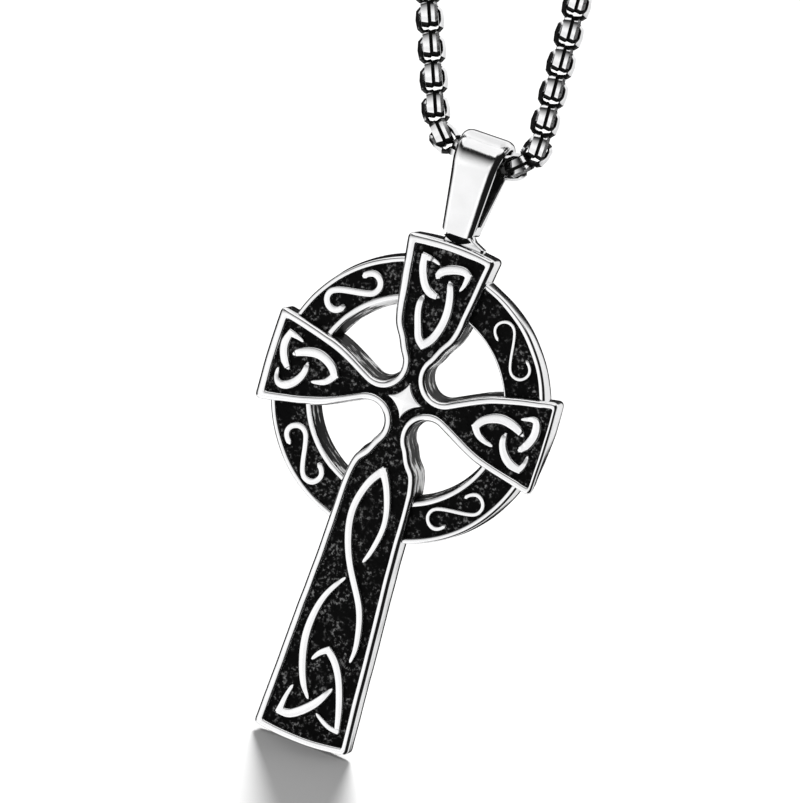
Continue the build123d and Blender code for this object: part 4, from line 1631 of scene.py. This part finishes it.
@dataclass
class ChainRoute:
    """The chain's middle line: up from the bail, round behind the neck and back, in the upright plane."""

    seat: np.ndarray
    pendant_lean: float = 12.0
    strand_lean: float = 9.7
    right_bend: float = 3.0
    left_bend: float = 4.3
    passage: float = 2.075
    clasp_width: float = 5.6
    half_clasp: float = 7.05
    nape_corners: int = 3
    arc_share: float = 0.9
    nape_range: tuple[float, float] = (10.0, 90.0)
    halvings: int = 60
    step: float = 0.25

    def corners(self) -> tuple[list[np.ndarray], list[float]]:
        """Corners of the route and the radius of each, in millimetres."""
        lean = math.radians(self.strand_lean)
        slope = math.radians(self.pendant_lean)
        seat = np.array([self.seat[0], self.seat[2]]) / MM
        along = np.array([math.cos(slope), -math.sin(slope)])
        right_turn = math.radians(90 + self.pendant_lean - self.strand_lean)
        left_turn = math.radians(90 - self.pendant_lean - self.strand_lean)
        right = seat + along * (self.passage + self.right_bend * math.tan(right_turn / 2))
        left = seat - along * (self.passage + self.left_bend * math.tan(left_turn / 2))
        top = self.clasp_width / 2
        nape = self.nape_radius(right)
        centre = np.array([self.half_clasp, top - nape])
        turn = math.radians((90 + self.strand_lean) / self.nape_corners)
        reach = nape / math.cos(turn / 2)
        angles = [-lean + turn * (i + 0.5) for i in range(self.nape_corners)]
        rights = [centre + reach * np.array([math.cos(angle), math.sin(angle)]) for angle in angles]
        lefts = [point * [-1, 1] for point in rights]
        ends = [np.array([self.half_clasp, top]), np.array([-self.half_clasp, top])]
        points = [ends[0]] + rights[::-1] + [right, left] + lefts + [ends[1]]
        arcs = [self.arc_share * nape] * self.nape_corners
        return points, arcs + [self.right_bend, self.left_bend] + arcs

    def nape_radius(self, right: np.ndarray) -> float:
        """The radius at which the arc behind the neck runs on from the leaning strand."""
        lean = math.radians(self.strand_lean)
        top = self.clasp_width / 2
        low, high = self.nape_range
        for _ in range(self.halvings):
            radius = (low + high) / 2
            touch_x = self.half_clasp + radius * math.cos(lean)
            touch_z = top - radius - radius * math.sin(lean)
            strand_x = right[0] + (touch_z - right[1]) * math.tan(lean)
            low, high = (radius, high) if touch_x < strand_x else (low, radius)
        return (low + high) / 2

    def line(self) -> np.ndarray:
        """Points along the route with its corners rounded, in millimetres, as X and Z."""
        points, radii = self.corners()
        drawn = [points[0]]
        for before, tip, after, radius in zip(points, points[1:], points[2:], radii):
            way = (tip - before) / np.linalg.norm(tip - before)
            way_on = (after - tip) / np.linalg.norm(after - tip)
            turn = math.atan2(way[0] * way_on[1] - way[1] * way_on[0], float(way @ way_on))
            side = np.array([-way[1], way[0]]) * math.copysign(1, turn)
            start = tip - way * radius * math.tan(abs(turn) / 2)
            hub = start + side * radius
            for angle in np.linspace(0, abs(turn), max(4, int(radius * abs(turn) / self.step))):
                drawn.append(hub - side * radius * math.cos(angle) + way * radius * math.sin(angle))
        drawn.append(points[-1])
        return np.array(drawn)


@dataclass(frozen=True)
class StripPoint:
    """A point of a link's section: across the strip, its depth, and the painted shade up to the next point.
    """

    across: float
    drop: float
    soot: float = 0.0


# Painted shade: the groove, the flanks, the inner face and part of the right ridge are black. They stand for
# the dark gaps and outlines of the links.
LINK_STRIP = (
    StripPoint(-0.84, 0.34), StripPoint(-0.2, 0.05, 1.0), StripPoint(0.0, 0.36, 1.0), StripPoint(0.16, 0.27),
    StripPoint(0.52, 0.12, 0.5), StripPoint(0.84, 0.38, 1.0), StripPoint(0.7, 0.64, 1.0),
    StripPoint(-0.72, 0.62, 0.1))


@dataclass
class LinkChain:
    """A round chain of two-ridged barrel links in crossed pairs, each a quarter turn from the last."""

    route: ChainRoute
    length: float = 2.93
    envelope: float = 3.0
    cap_thinness: float = 0.46
    pair_pitch: float = 3.0
    partner_drop: float = 0.65
    start: float = 1.1
    facing: float = 17.0
    sides: int = 12
    squareness: float = 0.64
    cap_share: float = 0.8
    cap_shade: float = 0.8
    foot_share: float = -0.6
    foot_shade: float = 0.95
    sharp_angle: float = 46.0

    def link(self) -> bpy.types.Object:
        """Draws one link about the origin, its length along Z and its broad side facing X."""
        solid = Solid()
        values = []
        rows = []
        for i in range(self.sides):
            angle = 2 * math.pi * i / self.sides
            out = np.array([math.cos(angle), math.sin(angle)])
            shaped = np.sign(out) * np.abs(out) ** self.squareness
            point = shaped * [self.envelope / 2, self.length / 2]
            thin = self.cap_thinness + (1 - self.cap_thinness) * abs(out[0])
            sunk = [point - out * spot.drop * thin for spot in LINK_STRIP]
            rows.append(solid.row([(x, spot.across, z) for (x, z), spot in zip(sunk, LINK_STRIP)]))
            # Painted shade on the caps and the feet, for the dark arcs where each link tucks under the next.
            rise = math.sin(2 * math.pi * (i + 0.5) / self.sides)
            cap_shade = self.cap_shade if rise > self.cap_share else 0.0
            end_shade = self.foot_shade if rise < self.foot_share else cap_shade
            values += [max(spot.soot, end_shade) for spot in LINK_STRIP]
        for i, row in enumerate(rows):
            solid.skin(rows[(i + 1) % self.sides], row)
        made = solid.to_object("link")
        soot = made.data.attributes.new("soot", "FLOAT", "FACE")
        soot.data.foreach_set("value", values)
        made.data.attributes.remove(made.data.attributes["zone"])
        soften(made.data, self.sharp_angle)
        return made

    def centres(self, total: float) -> list[float]:
        """Places of the links along the route: pairs on both strands, each partner nearer to the pendant.

        Args:
            total: Length of the route.

        Returns:
            The links' places from one end to the other, every second one a quarter turned.
        """
        pairs = int((total - 2 * self.start) / self.pair_pitch)
        pitch = (total - 2 * self.start) / pairs
        places = []
        for i in range(pairs + 1):
            place = self.start + i * pitch
            if i > pairs // 2:
                places.append(place - self.partner_drop)
            places.append(place)
            if i < pairs // 2:
                places.append(place + self.partner_drop)
        return places

    def tree(self) -> bpy.types.NodeTree:
        """Geometry nodes that string links on a guide."""
        tree = bpy.data.node_groups.new("link_chain", "GeometryNodeTree")
        sockets = {"Geometry": "Geometry", "Quarter Turn": "Float", "Facing": "Vector", "Link": "Object",
                   "Metal": "Material"}
        open_tree(tree, sockets)
        sheet = NodeSheet(tree)
        given = sheet.add("NodeGroupInput").outputs
        strung = sheet.add("GeometryNodeCurveToPoints", {"Curve": given["Geometry"]}, mode="EVALUATED")
        way = strung.outputs["Tangent"]
        sign = sheet.sum("SIGN", sheet.add("ShaderNodeSeparateXYZ", {0: way}).outputs[2])
        upwards = sheet.out("ShaderNodeVectorMath", {0: way, "Scale": sign}, operation="SCALE")
        facing = sheet.out(
            "FunctionNodeAxesToRotation", {"Primary Axis": upwards, "Secondary Axis": given["Facing"]},
            primary_axis="Z", secondary_axis="X")
        odd = sheet.sum("MODULO", sheet.out("GeometryNodeInputIndex"), 2.0)
        spin = sheet.out("FunctionNodeAxisAngleToRotation", {
            "Axis": (0.0, 0.0, 1.0), "Angle": sheet.sum("MULTIPLY", odd, given["Quarter Turn"])})
        turned = sheet.out("FunctionNodeRotateRotation", {"Rotation": facing, "Rotate By": spin},
                           rotation_space="LOCAL")
        shape = sheet.add("GeometryNodeObjectInfo", {"Object": given["Link"]}).outputs["Geometry"]
        placed = sheet.out("GeometryNodeInstanceOnPoints", {
            "Points": strung.outputs["Points"], "Instance": shape, "Rotation": turned})
        sheet.coat(placed, given["Metal"])
        return tree

    def build(self, metal: bpy.types.Material) -> bpy.types.Object:
        """Strings the links and brings the chain to its place."""
        flat = self.route.line()
        gone = lengths_along(flat)
        places = self.centres(float(gone[-1]))
        x, z = (np.interp(places, gone, flat[:, axis]) for axis in (0, 1))
        guide = guide_curve("chain_guide", np.column_stack([x, np.zeros(len(places)), z]))
        template = self.link()
        facing = math.radians(self.facing)
        mesh = run_nodes(guide, self.tree(), {
            "Quarter Turn": math.pi / 2, "Facing": (math.sin(facing), -math.cos(facing), 0.0),
            "Link": template, "Metal": metal})
        bpy.data.objects.remove(template)
        mesh.transform(Matrix.Scale(MM, 4))
        LOG.info("chain: %d links on %.1f mm", len(places), gone[-1])
        made = linked("link_chain", mesh)
        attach(made, Body.NECKLACE.value)
        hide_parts("chain")
        return made


# The studio


@dataclass
class Studio:
    """Pale floor, soft white room with dark screens for the metal to mirror, low sun and camera."""

    placing: Placing
    white: float = 1.3
    screen_dark: float = 0.012
    distance: float = 0.7
    lens: float = 313.8
    sensor: float = 36.0
    clip: tuple[float, float] = (0.01, 20.0)
    view_right: tuple[float, float, float] = (0.9086, 0.2911, -0.2995)
    view_up: tuple[float, float, float] = (-0.3249, 0.9432, -0.0691)
    star_height: float = 3.0
    star_pixel: tuple[float, float] = (404.5, 401.0)
    frame_centre: tuple[float, float] = (400.0, 401.5)
    pixels_per_mm: float = 10.0
    floor_albedo: float = 0.53
    floor_gap: float = 0.05
    floor_radius: float = 1.2
    floor_sides: int = 96
    sun_strength: float = 14.0
    sun_height: float = 20.0
    sun_side: float = 19.0
    sun_spread: float = 10.0

    def bench(self, u: float, v: float, w: float) -> np.ndarray:
        """A direction given across, up and out of the casting."""
        way = u * self.placing.across + v * self.placing.up + w * self.placing.out
        return way / np.linalg.norm(way)

    def camera(self) -> None:
        """The photograph's view of the pendant."""
        right, up = self.bench(*self.view_right), self.bench(*self.view_up)
        back = np.cross(right, up)
        up = np.cross(back, right)
        star = self.placing.to_world(np.array([[0.0, 0.0, self.star_height]]))[0]
        shift = (np.array(self.frame_centre) - self.star_pixel) / self.pixels_per_mm * MM
        target = star + right * shift[0] - up * shift[1]
        data = bpy.data.cameras.new("camera")
        data.lens = self.lens
        data.sensor_width = self.sensor
        data.clip_start, data.clip_end = self.clip
        view = linked("camera", data)
        turn = Matrix(np.column_stack([right, up, back]).tolist()).to_4x4()
        view.matrix_world = Matrix.Translation(Vector(target + back * self.distance)) @ turn
        bpy.context.scene.camera = view

    def room(self) -> None:
        """The surroundings: white, with dark screens at the right, high in front and behind.

        Each screen fades in and out between angles in degrees, to the right of the casting and up it.
        """
        world = bpy.data.worlds.new("room")
        world.use_nodes = True
        world.node_tree.nodes.clear()
        sheet = NodeSheet(world.node_tree)
        way = sheet.add("ShaderNodeTexCoord").outputs["Generated"]
        dots = [sheet.add("ShaderNodeVectorMath", {0: way, 1: tuple(axis)}, operation="DOT_PRODUCT")
                for axis in (self.placing.across, self.placing.up, self.placing.out)]
        across, up, out = (dot.outputs["Value"] for dot in dots)
        azimuth = sheet.sum("MULTIPLY", sheet.sum("ARCTAN2", across, out), 180 / math.pi)
        height = sheet.sum("MULTIPLY", sheet.sum("ARCSINE", up), 180 / math.pi)
        turn = sheet.sum("ABSOLUTE", azimuth)
        right = sheet.product(
            sheet.ease(azimuth, 6, 22), sheet.ease(azimuth, 122, 148, 1, 0), sheet.ease(height, 48, 60, 1, 0),
            sheet.ease(height, -88, -72))
        front = sheet.product(
            sheet.ease(height, -8, 35), sheet.ease(height, 42, 46, 1, 0), sheet.ease(turn, 70, 110, 1, 0))
        beyond = sheet.sum("MAXIMUM", sheet.ease(azimuth, 169, 175), sheet.ease(azimuth, -2, 2, 1, 0))
        above_lowest = sheet.sum("SUBTRACT", height, sheet.ease(beyond, 0, 1, -12, -36))
        behind = sheet.product(
            sheet.sum("MAXIMUM", sheet.ease(azimuth, 167, 176), sheet.ease(azimuth, -82, -56, 1, 0)),
            sheet.ease(height, 18, 30, 1, 0), sheet.ease(above_lowest, -4, 4))
        dark = sheet.sum("MAXIMUM", sheet.sum("MAXIMUM", right, front), behind)
        uneven = sheet.ease(sheet.noise(way, 1.7, 1.0), 0.3, 0.7, 0.82, 1.05)
        light = sheet.product(uneven, self.white, sheet.ease(turn, 120, 160, 1.0, 0.8))
        colour = sheet.sum("MULTIPLY_ADD", light, sheet.sum("SUBTRACT", 1.0, dark), self.screen_dark)
        mirrored = sheet.out("ShaderNodeBackground", {"Color": colour, "Strength": 1.0})
        seen = sheet.out("ShaderNodeBackground", {"Color": grey(1.0), "Strength": 1.1})
        camera = sheet.add("ShaderNodeLightPath").outputs["Is Camera Ray"]
        mixed = sheet.out("ShaderNodeMixShader", {0: camera, 1: mirrored, 2: seen})
        sheet.add("ShaderNodeOutputWorld", {"Surface": mixed})
        bpy.context.scene.world = world

    def floor(self, low: float) -> bpy.types.Object:
        """A wide pale floor just under the pendant's foot, square to its shaft and clear from below."""
        solid = Solid()
        middle = self.placing.seat + low * self.placing.up
        across, out = self.floor_radius * self.placing.across, self.floor_radius * self.placing.out
        angles = np.linspace(0, 2 * math.pi, self.floor_sides, endpoint=False)
        solid.face(solid.row([middle + math.cos(angle) * across - math.sin(angle) * out for angle in angles]))
        made = solid.to_object("floor")
        material = bpy.data.materials.new("pale_floor")
        material.use_nodes = True
        sheet = NodeSheet(material.node_tree)
        shader, end = (material.node_tree.nodes[name] for name in ("Principled BSDF", "Material Output"))
        sheet.feed(shader, {"Base Color": grey(self.floor_albedo), "Roughness": 1.0,
                            "Specular IOR Level": 0.0})
        below = sheet.add("ShaderNodeNewGeometry").outputs["Backfacing"]
        clear = sheet.out("ShaderNodeBsdfTransparent")
        mixed = sheet.out("ShaderNodeMixShader", {0: below, 1: shader.outputs[0], 2: clear})
        sheet.feed(end, {"Surface": mixed})
        made.data.materials.append(material)
        made.visible_glossy = False
        return made

    def sun(self, floor: bpy.types.Object) -> None:
        """A low soft sun from behind that lights the floor alone and throws the pendant's shadow forwards."""
        data = bpy.data.lights.new("low_sun", "SUN")
        data.energy = self.sun_strength
        data.angle = math.radians(self.sun_spread)
        lamp = linked("low_sun", data)
        side, height = math.radians(self.sun_side), math.radians(self.sun_height)
        low = math.cos(height)
        from_way = Vector(self.bench(-math.sin(side) * low, math.sin(height), -math.cos(side) * low))
        lamp.rotation_mode = "QUATERNION"
        lamp.rotation_quaternion = from_way.to_track_quat("Z", "Y")
        lit = bpy.data.collections.new("lit_by_sun")
        lit.objects.link(floor)
        lamp.light_linking.receiver_collection = lit

    def build(self, low: float) -> None:
        """Sets up everything around the object."""
        self.camera()
        self.room()
        self.sun(self.floor(low - self.floor_gap * MM))
        bpy.context.scene.view_settings.view_transform = "Standard"


def main(frame: dict[str, Any]) -> None:
    """Builds and dresses each piece in turn."""
    logging.basicConfig(level=logging.INFO, format="%(message)s")
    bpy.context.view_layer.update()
    bail = StrapBail()
    placing = Placing.from_record(frame["record"], bail.seat_height, bail.mid_depth)
    effects = Effects()
    polished = PolishedSteel("polished_cast_steel").build(effects)
    stipple = BlackStipple("blackened_stipple").build(effects)
    # The openings' walls: rough cast streaks, with painted shade by the way each wall faces.
    opening = SatinCast("rough_opening_wall", light=1.0, dark=0.01, streaks=0.84, roughness=0.2,
                         stretch=(0.35, 2.4, 0.35), spread=0.6, metallic=0.25, contrast=2.6).build(effects)
    # The bail loop's inside: unpolished, and painted nearly black as the shade inside the loop.
    inner = SatinCast("unpolished_inside", light=0.1, dark=0.012, streaks=0.42).build(effects)
    back = SatinCast("satin_back", light=0.62, dark=0.4, roughness=0.22).build(effects)
    finishes = {
        Zone.BRIGHT: polished, Zone.ARMS_RELIEF: polished, Zone.RING_RELIEF: polished,
        Zone.ARMS_FLOOR: stipple, Zone.RING_FLOOR: stipple, Zone.OPENING: opening, Zone.BACK: back,
        Zone.INSIDE: inner}
    cross = CastPendant(placing, bail=bail).build(finishes, StrandTree(polished))
    LOG.info("cast_cross: %d faces", len(cross.data.polygons))
    links = PolishedSteel("polished_links", tone=0.8, haze=0.12, wave_depth=0.008).build(effects)
    chain = LinkChain(ChainRoute(placing.seat)).build(links)
    LOG.info("link_chain: %d faces", len(chain.data.polygons))
    brushed = BrushedSteel("brushed_clasp").build(effects)
    clasp = frame["nodes"]["clasp"]
    for slot in clasp.material_slots:
        slot.material = brushed
    heights = [placing.up @ (np.array(vertex.co) - placing.seat) for vertex in cross.data.vertices]
    Studio(placing).build(float(min(heights)))


if __name__ == "__main__":
    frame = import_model()
    main(frame)
